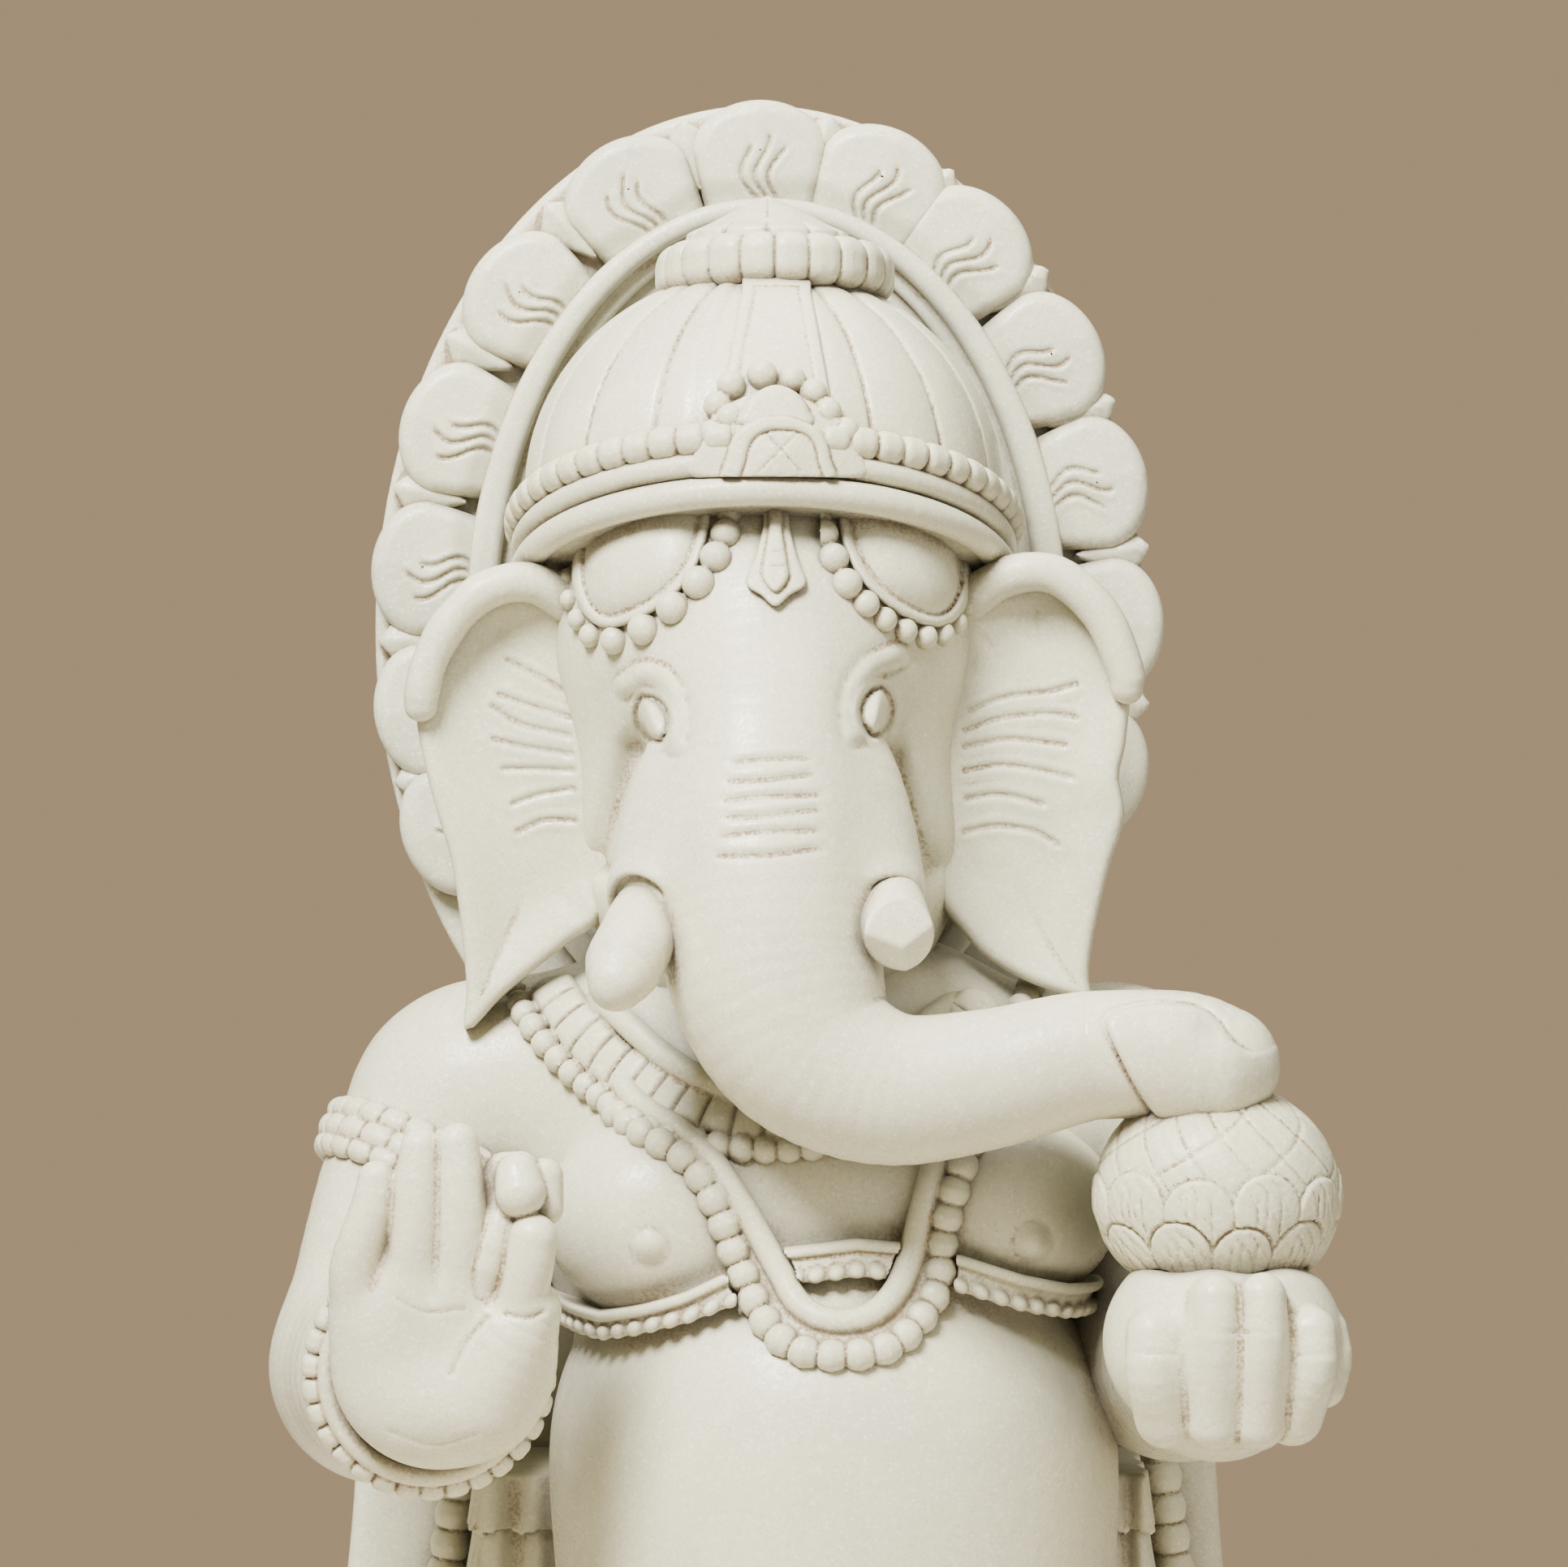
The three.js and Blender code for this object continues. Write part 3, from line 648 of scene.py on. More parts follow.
def ring_field(p):
    x, y = p[:, 0] - RING_AT[0], p[:, 1] - RING_AT[1]
    z = p[:, 2] - RING_AT[2] - 11.5 + 0.08 * y
    radius = np.hypot(x, y)
    turn = np.arctan2(x, -y) * RING_LOBES / (2 * np.pi)
    seam_gap = from_joint(turn) * radius * 2 * np.pi / RING_LOBES
    a, b = radius - 46, np.abs(z)
    body = np.hypot(np.maximum(a - 9, 0), np.maximum(b - 3.5, 0)) - 11
    lobe = 2.4 * np.clip(seam_gap / 6, 0, 1) ** 0.45 - 2.4
    return np.where(radius > 36, body - lobe + line(seam_gap, 0.9, 1.4), np.maximum(b - 13.5, radius - 40))


def finial_field(p):
    x, y, z = p[:, 0] + 9, p[:, 1] - RING_AT[1], p[:, 2] - 1119
    radius = np.hypot(x, y)
    turn = np.arctan2(x, -y) * FINIAL_LOBES / (2 * np.pi)
    gap = from_joint(turn) * radius * 2 * np.pi / FINIAL_LOBES
    side = profile(z, (-4, 4, 9, 14, 20, 26, 31), (40, 44, 43, 34, 23, 11, 0))
    body = (radius - side) * 0.72
    lobed = (line(gap, 1.4, 1.6) - 1.2 * np.sqrt(np.clip(gap / 11, 0, 1))) * ramp((15 - z) / 5)
    spine = line(x, 0.9, 0.9) * ramp((z - 14) / 3) * (y < 0)
    return np.maximum(body + lobed + spine, -z - 4)


def band_route(front, slope, out, count=90):
    """A closed route round the crown, sloping down to the back, standing out from the dome."""
    stops = []
    for i in range(48):
        angle = 2 * math.pi * i / 48
        way = np.array((math.sin(angle), -math.cos(angle)))
        low, high = 20.0, 190.0
        for _ in range(40):
            r = (low + high) / 2
            x, y = DOME[0][0] + r * way[0], DOME[0][1] + r * way[1]
            z = front - slope * (y + 150)
            if dome_skin(np.array([[x, y, z]], np.float32))[0] < out:
                low = r
            else:
                high = r
        stops.append((x, y, z))
    return Route(stops, count, True)


BAND_BEAD_PITCH = 15.0
lower_band = band_route(979, 0.335, 4.0)
upper_band = band_route(994.5, 0.33, 3.0)
bead_band = band_route(1008, 0.32, 3.5)


def lower_roll_field(p):
    return lower_band.cord(p, 8.2)


def upper_roll_field(p):
    return upper_band.cord(p, 6.6)


def band_beads_field(p):
    gap, along, _ = bead_band.nearest(p)
    step = bead_band.length / round(bead_band.length / BAND_BEAD_PITCH)
    seam_gap = from_joint(along / step) * step
    return gap - 6.0 - 3.0 * np.clip(seam_gap / 4.0, 0, 1) ** 0.4 + line(seam_gap, 0.8, 1.2)


scallop = outline([(-45, 986), (-46, 1002), (-40, 1012), (-37, 1021), (-28, 1026), (-5, 1034), (20, 1024),
    (30, 1019), (34, 1011), (39.5, 1001), (39, 986)], 60)
arch = outline([(-29.5, 980), (-30, 996), (-25, 1010), (-14, 1017), (-3, 1019), (9, 1016.5), (20, 1009),
    (24.5, 996), (24, 980)], 60)
window = outline([(-20, 980), (-20, 995), (-16, 1006), (-8, 1010.5), (-1, 1011), (8, 1010), (15, 1005),
    (18, 995), (18, 980)], 60)
crescent = outline([(-22, 1013), (-22, 1022), (-15, 1031), (-4, 1035.5), (7, 1031), (13, 1022),
                    (13, 1013)], 40)
MEDALLION_BEADS = [(-35, 1025, 7.5), (-28, 1036, 7.6), (-11.5, 1041.5, 8.0), (4.5, 1039, 7.2),
    (15.5, 1032, 7.4), (22.5, 1021.5, 8.0), (-28.5, 1018, 8.0), (-37, 1010, 7.5), (32, 1011, 8.0)]


def on_dome(x, z, out):
    y = -160.0
    while dome_skin(np.array([[x, y, z]], np.float32))[0] > out:
        y += 0.5
    return y


medallion_pearls = pearls([(x, on_dome(x, z, 4.5), z, r) for x, z, r in MEDALLION_BEADS])


def medallion_field(p):
    h = dome_skin(p)
    plate = slab(scallop(p), h, -6, 10, 3.5)
    ring = slab(np.maximum(arch(p), -window(p)), h, -6, 14.5, 2.6)
    inside = window(p)
    u, v = p[:, 0] + 1, p[:, 2] - 997
    lattice = line(u * 0.75 + v * 0.66 - 2, 0.7, 0.7) + line(u * 0.7 - v * 0.7 + 3, 0.7, 0.7)
    pad = slab(inside, h + lattice, -6, 13.0 + 0.12 * np.clip(-inside, 0, 12), 2.5)
    sun = slab(crescent(p), h, -6, 13.5, 4)
    body = blend(np.minimum(plate, pad), ring, 0.8)
    body = np.minimum(body, sun)
    body = np.minimum(body, medallion_pearls(p))
    return np.maximum(body, np.maximum(986.5 - p[:, 2], p[:, 1] + 60))


def around(route, reach):
    """A box round a route."""
    return route.points[:, :3].min(0) - reach, route.points[:, :3].max(0) + reach


def both(a, b):
    """The box round two boxes."""
    return np.minimum(a[0], b[0]), np.maximum(a[1], b[1])


carve("crown_dome", dome_field, (-145, -152, 905), (124, 112, 1098), 1.8, SMOOTH)
carve("crown_strap", strap_field, (-42, -155, 982), (34, -15, 1104), 1.3, SMOOTH)
carve("crown_ring", ring_field, (-74, -88, 1090), (64, 52, 1124), 1.3, SMOOTH)
carve("crown_finial", finial_field, (-58, -66, 1112), (40, 30, 1152), 1.1, SMOOTH)
carve("headband_lower_roll", lower_roll_field, *around(lower_band, 9), 1.8, SMOOTH)
carve("headband_upper_roll", upper_roll_field, *around(upper_band, 8), 1.8, SMOOTH)
carve("headband_beads", band_beads_field, *around(bead_band, 9), 1.4, CARVED)
carve("crown_medallion", medallion_field, (-50, -170, 984), (46, -100, 1052), 1.0, CARVED)


# ---------------------------------------------------------------- head and trunk

CRANIUM = ((-11, -30, 905), (118, 120, 116))
CHEEKS = ((-8, -40, 800), (106, 96, 98))

trunk_run = limb([
    (-9, -116, 888, 46), (-9, -140, 850, 56), (-9, -158, 808, 60), (-8, -171, 768, 60), (-3, -184, 722, 55),
    (14, -194, 688, 46.5), (54, -202, 669, 39.5), (105, -204, 674, 36), (150, -205, 685, 33.5),
    (188, -205, 689, 31)], 46)
right_sleeve = limb([(-42, -132, 856, 24), (-53, -150, 806, 31), (-60, -164, 774, 31.5)], 8)
left_sleeve = limb([(24, -132, 856, 24), (36, -150, 806, 31), (42.5, -165, 774, 31)], 8)
CUFFS = (((-68, -180, 762), (-0.32, -0.74, -0.59)), ((47, -181.5, 762), (0.16, -0.80, -0.58)))


HOLLOWS = [drawn([(-78, 842), (-86, 815), (-95, 784)], 6), drawn([(57, 838), (65, 812), (75, 782)], 6)]


def skull(p):
    """The cranium and jaw, hollowed beside the root of the trunk."""
    f, front = flat(p), p[:, 1] < -50
    hollow = np.zeros(len(p), np.float32)
    for run in HOLLOWS:
        hollow = np.maximum(hollow, 10 * np.exp(-(run.nearest(f)[0] / 11) ** 2))
    q = p.copy()
    q[:, 2] = np.where(q[:, 2] < CHEEKS[0][2], CHEEKS[0][2] + 0.80 * (q[:, 2] - CHEEKS[0][2]), q[:, 2])
    return blend(egg(p, *CRANIUM), egg(q, *CHEEKS), 34) + np.where(front, hollow, 0)


def nose(p):
    run = trunk_run(p)
    for sleeve, (at, way) in zip((right_sleeve(p), left_sleeve(p)), CUFFS):
        q = p - np.array(at, np.float32)
        end = q @ np.array(way, np.float32)
        across = norm(q - end[:, None] * np.array(way, np.float32))
        close = ramp(1.6 - np.abs(end) / 8)
        run = blend(run, common(sleeve, end, 3), 22)
        run = run + (line(across - 20, 2.2, 2.6) - line(across - 25, 3.5, 2.6)) * close
    return run


EYES = (((-69.4, 860.0), 0.43), ((48.7, 863.8), -0.18))
brow_lines = [drawn([(-84, 878), (-76, 883.5), (-66, 882), (-59, 873), (-56, 861), (-57, 848)]),
              drawn([(60, 894), (47, 887.5), (39, 877), (36, 865), (37, 852)])]
WRINKLES = [(838, 20, -7), (828.5, 22, -7), (819, 25, -6), (810, 24, -6), (801, 25, -7), (790, 27, -8)]


def face_relief(p):
    """Carving on the front of the face: how far it stands out from the plain form."""
    x, z = p[:, 0], p[:, 2]
    out = np.zeros(len(p), np.float32)
    for (ex, ez), lean in EYES:
        c, s = math.cos(lean), math.sin(lean)
        u = (x - ex) * c + (z - ez) * s
        v = (z - ez) * c - (x - ex) * s
        gap = np.hypot(np.abs(u) + 6.0, v) - 13.6
        out += 5.2 * np.sqrt(np.clip(-gap / 7.6, 0, 1))
        out -= line(gap - 0.8, 1.8, 1.8)
        inward = ramp(0.5 + (u if ex < 0 else -u) / 12)
        out += line(gap - 3.6, 1.8, 1.0) * (0.3 + 0.7 * inward) - 2.6 * np.exp(-(gap / 15) ** 2)
    f = flat(p)
    for brow in brow_lines:
        gap = brow.nearest(f)[0]
        out += line(gap, 5.5, 2.0) - line(gap - 7.5, 2.6, 0.6)
    for level, half, mid in WRINKLES:
        tilt = 0.07 * (x - mid)
        along = ramp((half + 5 - np.abs(x - mid)) / 12)
        rise = z - level - tilt - 0.6 * np.sin((x + 3 * level) / 9)
        out -= (line(rise, 2.1, 1.3) - line(rise - 4.2, 2.4, 0.4)) * along
    return np.where(p[:, 1] < -70, out, 0.0)


def face(p):
    """Head and trunk as one form, with how much nearer the trunk is than the head."""
    a, b = skull(p), nose(p)
    k = 6.0 + 30.0 * ramp((p[:, 2] - 826) / 55)
    return blend(a, b, k) - face_relief(p), b - a + 24 * ramp((p[:, 2] - 836) / 10)


def head_field(p):
    whole, side = face(p)
    return common(common(whole + 0.2, -side - 3, 0.5), np.maximum(p[:, 1] - 97, seam(p, 950)), 1)


def trunk_field(p):
    whole, side = face(p)
    return common(whole, side, 0.4)


def tusk(stops, facets=()):
    run = limb(stops, 10)

    def field(p):
        body = run(p) + 0.35 * np.sin(p[:, 2] / 5.0 + p[:, 0] / 9.0)
        for (nx, ny, nz), reach in facets:
            body = common(body, p[:, 0] * nx + p[:, 1] * ny + p[:, 2] * nz - reach, 1.5)
        return body
    return field


right_tusk_field = tusk([(-70, -178, 760, 18), (-77, -204, 743, 20.5), (-82, -219, 733, 19.5),
                         (-85, -229, 725, 15.5)])
STUB = np.array((60.0, -219.0, 744.0))
FACETS = [tuple(np.array(n) / np.linalg.norm(n)) for n in ((0.55, -0.7, -0.45), (-0.25, -0.75, -0.6),
                                                           (0.1, -1, 0.25))]
left_tusk_field = tusk([(53, -178, 766, 18), (57, -205, 754, 18.5), (60, -226, 745, 18.5)],
                       [(n, float(np.dot(n, STUB)) + 6.0) for n in FACETS])

carve("head", head_field, (-135, -175, 695), (118, 100, 1010), 1.9, SMOOTH)
carve("trunk", trunk_field, (-95, -260, 620), (225, -90, 940), 1.7, SMOOTH)
carve("right_tusk", right_tusk_field, (-108, -250, 700), (-48, -155, 786), 1.2, SMOOTH)
carve("left_tusk", left_tusk_field, (30, -246, 722), (84, -156, 790), 1.2, SMOOTH)


# ---------------------------------------------------------------- ornaments of the brow

def face_skin(p):
    return face(p)[0]


BOSSES = {
    "right": outline([(-42, 985), (-43, 962), (-50, 940), (-62, 926), (-78, 917), (-93, 913), (-104, 921),
        (-109, 938), (-108, 960), (-100, 985), (-70, 995)]),
    "left": outline([(32, 985), (34, 960), (42, 940), (53, 926), (68, 917), (82, 914), (92, 922),
        (97, 938), (97, 960), (90, 985), (62, 995)]),
}
BROW_BEADS = {
    "right": [(-29, 969, 6.5), (-31, 957.5, 7.3), (-36, 945, 7.8), (-45, 931.5, 8.2), (-58.5, 918.5, 8.2),
        (-74, 907.5, 8.0), (-90, 902, 7.0), (-103, 905, 6.0), (-110, 914, 5.6), (-115, 925, 5.2),
        (-117, 937, 5.0), (-117, 949, 4.6)],
    "left": [(19, 969, 6.5), (21, 957.5, 7.2), (26, 944.5, 7.6), (33, 931, 7.6), (43, 920.5, 6.8),
             (53, 912.5, 6.2),
        (64, 907, 6.2), (75, 904, 6.2), (85, 906, 5.8), (93, 912.5, 5.2), (98.5, 922, 5.0), (102, 933, 4.8),
        (104, 945, 4.6)],
}
BROW_CORDS = {
    "right": drawn([(-41, 982), (-43, 960), (-50, 939), (-62, 925), (-78, 915.5), (-94, 911.5), (-105, 919),
        (-111, 936), (-110, 958)], 40),
    "left": drawn([(31, 982), (33, 958), (41, 938), (53, 925), (68, 915.5), (83, 912.5), (94, 920),
                   (99, 936),
        (99, 958)], 40),
}


def boss_field(side):
    def field(p):
        h = face_skin(p)
        edge = BOSSES[side](p)
        top = 1.0 + 11.0 * (1 - np.exp(np.minimum(edge, 0) / 10))
        pad = slab(edge, h, -6, top, 1.5)
        cord_gap = BROW_CORDS[side].nearest(flat(p))[0]
        cord_body = np.hypot(cord_gap, np.minimum(h - 2.2, 0) * 0.2 + np.maximum(h - 2.2, 0)) - 3.1
        cord_body = np.maximum(cord_body, -h - 5)
        return np.maximum(np.minimum(pad, cord_body), np.maximum(p[:, 1] + 40, seam(p, 946)))
    return field


def brow_bead_field(side):
    places = []
    for x, z, r in BROW_BEADS[side]:
        (bx, by, bz), = drape(face_skin, [(x, z)], 0.8)
        places.append((bx, by, bz, 1.1 * r))
    return pearls(places)


pendant = outline([(-9.5, 980), (-11, 962), (-15, 945), (-20, 931), (-12, 924.5), (-4.5, 918.5), (3, 924.5),
    (11.5, 931), (7, 945), (3, 962), (1.5, 980)], 80)
tongue = outline([(-7, 985), (-8, 960), (-11, 940), (-11, 933), (-4.5, 926), (2, 933), (2, 940), (-1, 960),
    (-2, 985)], 60)


def pendant_field(p):
    h = face_skin(p)
    rungs = line(p[:, 2] - 948, 0.7, 0.6) + line(p[:, 2] - 940, 0.7, 0.6)
    body = blend(slab(pendant(p), h, -6, 5.0, 2), slab(tongue(p), h + rungs, -6, 8.5, 2.5), 0.8)
    return np.maximum(body, np.maximum(p[:, 1] + 60, seam(p, 946)))


for side in ("right", "left"):
    low_x, high_x = (-122, -36) if side == "right" else (26, 112)
    carve(side + "_brow_boss", boss_field(side), (low_x, -165, 900), (high_x, -40, 1000), 1.5, SMOOTH)
    carve(side + "_brow_beads", brow_bead_field(side), (low_x - 4, -170, 890), (high_x + 16, -50, 980),
          1.1, CARVED)
carve("brow_pendant", pendant_field, (-26, -168, 912), (18, -110, 990), 1.0, CARVED)


# ---------------------------------------------------------------- ears

EAR_SHAPES = {
    "right": [(-92, 905), (-120, 930), (-145, 936), (-170, 930), (-190, 905), (-199, 870), (-194, 835),
        (-186, 805), (-180, 784), (-175, 750), (-172, 715), (-173.5, 694), (-168, 694), (-150, 713),
        (-115, 741), (-100, 752), (-84, 790)],
    "left": [(84, 905), (110, 932), (140, 943), (168, 926), (186, 888), (185, 850), (181, 830), (184, 808),
        (176, 780), (168, 745), (165, 722), (167, 708), (160, 709), (125, 722), (98, 744), (74, 790)],
}
EAR_FOLDS = {
    "right": [(-112, -64, 921, 12), (-136, -74, 934, 11), (-163, -78, 929, 10.5), (-186, -79, 903, 10),
        (-195, -79, 876, 9.5), (-196, -78, 868, 9)],
    "left": [(96, -62, 922, 12), (119, -74, 937, 11), (145, -78, 939, 10.5), (170, -79, 918, 10.5),
        (184, -79, 888, 10), (185, -78, 878, 9)],
}
EAR_LINES = {
    "right": [[(-150, 893), (-136, 886), (-118, 876)], [(-154, 874), (-136, 868), (-116, 862)],
        [(-158, 868), (-142, 858), (-116, 852)], [(-157, 850), (-140, 846), (-115, 842)], [(-152, 834),
        (-136, 834), (-114, 833)], [(-147, 815), (-132, 820), (-114, 823)], [(-144, 800), (-130, 806),
        (-113, 806)]],
    "left": [[(101, 866), (120, 873), (144, 876), (158, 880)],
             [(98, 855), (120, 862), (145, 864), (158, 862)],
        [(98, 846), (122, 850), (152, 847)], [(98, 833), (118, 836), (140, 833), (156, 829)], [(99, 818),
        (118, 820), (140, 815)], [(98, 800), (116, 803), (136, 800), (148, 793)]],
}


def ear_field(side):
    shape = outline(EAR_SHAPES[side], 90)
    lines = [drawn(stops, 12) for stops in EAR_LINES[side]]

    def field(p):
        edge = shape(p)
        f = flat(p)
        front = -70 + 2.2 * np.sin((p[:, 2] - 690) / 30) - 4 * ramp(1 + edge / 30) + 5 * ramp(-edge / 40)
        body = slab(edge, p[:, 1], front, -46, 6.5)
        for wrinkle in lines:
            gap = wrinkle.nearest(f)[0]
            body = body + np.where(p[:, 1] < -58, line(gap, 1.6, 1.3) - line(gap - 3.5, 2.2, 0.4), 0)
        return body
    return field


def fold_field(side):
    run = limb(EAR_FOLDS[side], 26)
    return lambda p: run(p) + 0.3 * np.sin(p[:, 0] / 6.0 + p[:, 2] / 7.0)


for side in ("right", "left"):
    low_x, high_x = (-205, -70) if side == "right" else (66, 196)
    carve(side + "_ear", ear_field(side), (low_x, -84, 688), (high_x, -42, 948), 1.6, SMOOTH)
    carve(side + "_ear_fold", fold_field(side), (low_x - 8, -96, 855), (high_x + 8, -48, 956), 1.4, SMOOTH)


# ---------------------------------------------------------------- body

BELLY = ((28, -60, 412), (152, 150, 190))
UPPER_BELLY = ((26, -56, 474), (150, 146, 128))
CHEST = ((18, -32, 600), (156, 124, 128))
NECK_SLOPE = ((-2, -22, 674), (150, 86, 78))
HIPS = ((18, -10, 238), (170, 130, 87))
PECTORALS = (((-62, -114, 595), (66, 50, 54)), ((116, -112, 599), (62, 50, 51)))
SHOULDERS = (((-160, -8, 655), (76, 62, 62)), ((180, -8, 652), (74, 62, 62)))
NIPPLES = ((-70.5, 584, 9.5), (130, 586, 10))

right_upper = limb([(-160, -4, 655, 56), (-196, -20, 618, 54), (-214, -66, 512, 61)], 14)
right_fore = limb([(-214, -68, 511, 61), (-205, -120, 514, 56), (-184, -188, 522, 49)], 12)
left_upper = limb([(180, -4, 655, 55), (206, -20, 612, 55), (214, -62, 520, 58)], 14)
left_fore = limb([(214, -62, 520, 58), (221, -120, 520, 52), (226, -170, 520, 47)], 12)
ARMLET = {"right": ((-203, -24, 616), (-0.45, -0.25, -1.0), 52),
          "left": ((210, -24, 614), (0.3, -0.25, -1.0), 52)}
ELBOW = {"right": ((-214, -66, 512), (0.08, -1.36, -0.80)), "left": ((214, -60, 520), (0.1, -1.36, -0.80))}


def beyond(p, place):
    """Distance past a plane, given by a point and the way it faces."""
    at, way = place[0], np.array(place[1], np.float32)
    return ((p - np.array(at, np.float32)) @ (way / np.linalg.norm(way))).astype(np.float32)


def torso_skin(p, crease=14):
    body = blend(blend(egg(p, *BELLY), egg(p, *UPPER_BELLY), 24), egg(p, *HIPS), 30)
    chest = blend(egg(p, *CHEST), np.minimum(egg(p, *PECTORALS[0]), egg(p, *PECTORALS[1])), 20)
    body = blend(body, chest, crease)
    body = blend(body, egg(p, *NECK_SLOPE), 30)
    shoulders = np.minimum(egg(p, *SHOULDERS[0]), egg(p, *SHOULDERS[1]))
    return blend(body, shoulders, 34)


def torso_field(p):
    body = torso_skin(p)
    for side, upper in (("right", right_upper), ("left", left_upper)):
        arm = np.maximum(upper(p), beyond(p, ARMLET[side]) - 3)
        body = blend(body, arm, 16)
    front = p[:, 1] < -60
    for x, z, r in NIPPLES:
        d = np.hypot(p[:, 0] - x, p[:, 2] - z)
        body = body - np.where(front, 3.4 * ramp(1.15 - d / r) - line(d - 1.1 * r, 1.8, 0.4), 0)
    navel = np.hypot(p[:, 0] - 28, (p[:, 2] - 372) * 1.3)
    body = body + np.where(front, line(navel, 7, 7) - line(navel - 12, 5, 1.2), 0)
    return np.maximum(body, 150.5 - p[:, 2])


def neck_field(p):
    rings = 1.2 * np.sin(p[:, 2] / 2.6 + 0.4 * np.sin(p[:, 0] / 9))
    return egg(p, (-4, -36, 712), (84, 74, 58)) + np.where(p[:, 1] < -40, 0.35 * rings, 0)


def arm_field(side, part):
    upper, fore = (right_upper, right_fore) if side == "right" else (left_upper, left_fore)

    def field(p):
        whole = blend(upper(p), fore(p), 14)
        bend = beyond(p, ELBOW[side])
        if part == "upper":
            return np.maximum(np.maximum(whole + 0.3 * ramp((bend + 8) / 6), bend - 3),
                              -beyond(p, ARMLET[side]) - 4)
        return np.maximum(whole, -bend)
    return field


# ---------------------------------------------------------------- necklaces and bands

def chest_masses(p):
    return blend(torso_skin(p, 40), neck_field(p), 12)


def laid(places, proud=0.0):
    return drape(chest_masses, places, proud)


cord_run = Route([(-100, -40, 694)] + laid([(-84, 664), (-72, 653), (-54.5, 643), (-36.6, 627),
                                            (-22, 605.6), (-12, 588),
    (-2.3, 571.5), (7, 556), (22, 547.5), (42, 548.5), (57, 560), (66, 578.5), (71.4, 599.5),
                  (77.8, 622.7), (84, 645), (92, 664)], 3.5) + [(108, -50, 690)], 70)
tooth_run = Route(laid([(-92, 652), (-73, 641), (-59, 634), (-48, 626), (-40, 614), (-34, 602),
                        (-29.5, 590), (-25, 578),
    (-19, 565), (-13, 552), (-5, 541), (5, 534), (17, 531), (30, 530.5), (44, 531.5), (57, 535.5),
    (68, 544.5), (76.5, 555.5), (81, 568.5), (82.5, 585), (85, 598), (88.5, 611), (93, 624),
    (99, 642)], 2.5), 80)


def teeth(run, p, pitch, wide, swell, edge=1.0):
    """A row of rounded teeth along a route."""
    gap, along, _ = run.nearest(p)
    step = run.length / round(run.length / pitch)
    seam_gap = from_joint(along / step) * step
    return gap - wide - swell * np.sqrt(np.clip(2 * seam_gap / step, 0, 1)) + line(seam_gap, 0.9, edge)


def long_necklace_field(p):
    web = slab((cord_run.nearest(p)[0] + tooth_run.nearest(p)[0]) / 2 - 11.0, chest_masses(p), -6, 2.5, 1.0)
    return blend(blend(cord_run.cord(p, 7.0), teeth(tooth_run, p, 14, 5.6, 3.2), 1.5), web, 1.5)


collar_cord = Route([(-96, 10, 716), (-103, -50, 712)]
                    + laid([(-87, 700), (-62, 680), (-37, 667), (-8, 662), (24, 667),
                    (52, 680), (78, 700)], 5) + [(98, -50, 712), (92, 10, 716)], 60)
collar_beads = Route([(-150, -20, 716)] + laid([(-140, 700), (-123, 679), (-102, 661), (-78, 647),
                                                (-48, 638), (-10, 634),
                     (30, 638), (62, 648), (90, 664), (112, 684), (128, 704)], 2) + [(138, -20, 720)], 90)
collar_middle = Route(laid([(-126, 714), (-108, 692), (-86, 673), (-60, 659), (-34, 651), (-8, 648),
                            (24, 652),
    (54, 664), (82, 682), (104, 704)], -1.0), 60)


COLLAR_PITCH = 15.5


def collar_field(p):
    gap, along, _ = collar_middle.nearest(p)
    seam_gap = from_joint(along / COLLAR_PITCH) * COLLAR_PITCH
    h = chest_masses(p)
    across = 2.2 * np.cos(np.clip(gap / 12, 0, 1) * 1.5)
    face = 4.2 + across + 1.6 * np.clip(seam_gap / 5, 0, 1) ** 0.5 - line(seam_gap, 1.0, 2.2)
    band = slab(gap - 13.0, h, -10, face, 2)
    body = blend(collar_cord.cord(p, 7.0), teeth(collar_beads, p, 12.5, 4.8, 3.0), 2)
    return np.maximum(blend(body, band, 2.5), -h - 12)


BAND_LEVELS = ((-140, 544), (-118, 543), (-97, 540), (-75, 545), (-52, 552), (-29, 562), (0, 574),
               (38, 578.5),
    (75, 575), (98, 568), (125, 559), (150, 553), (180, 551))


BAND_PITCH = 9.5


def chest_band_field(p):
    h = torso_skin(p, 40)
    level = profile(p[:, 0], *zip(*BAND_LEVELS))
    up = p[:, 2] - level
    half = 7.2 + 2.0 * ramp((p[:, 0] + 70) / 60)
    turn = np.arctan2(p[:, 0] - 22, 40 - p[:, 1]) * 190 / BAND_PITCH
    border = np.hypot(np.maximum(np.abs(up - half + 2.2) - 0.6, 0), (h - 4.4) * 0.9) - 2.6
    strip = slab(np.abs(up) - half, h, -14, 4.6, 1.5)
    off = turn - np.floor(turn) - 0.5
    bead = np.sqrt((off * BAND_PITCH) ** 2 + (up + half - 3.5) ** 2 + (h - 4.0) ** 2) - 4.3
    body = blend(blend(strip, np.maximum(border, -h - 6), 1.0), bead, 1.0)
    cord, tooth = cord_run.nearest(p)[0], tooth_run.nearest(p)[0]
    crossing = np.minimum(np.minimum(cord - 8.0, tooth - 9.5), (cord + tooth) / 2 - 12.5)
    return np.maximum(np.maximum(body, -crossing), np.maximum(p[:, 1] - 20, np.abs(p[:, 0] - 22) - 152))


# ---------------------------------------------------------------- arms' ornaments and hands

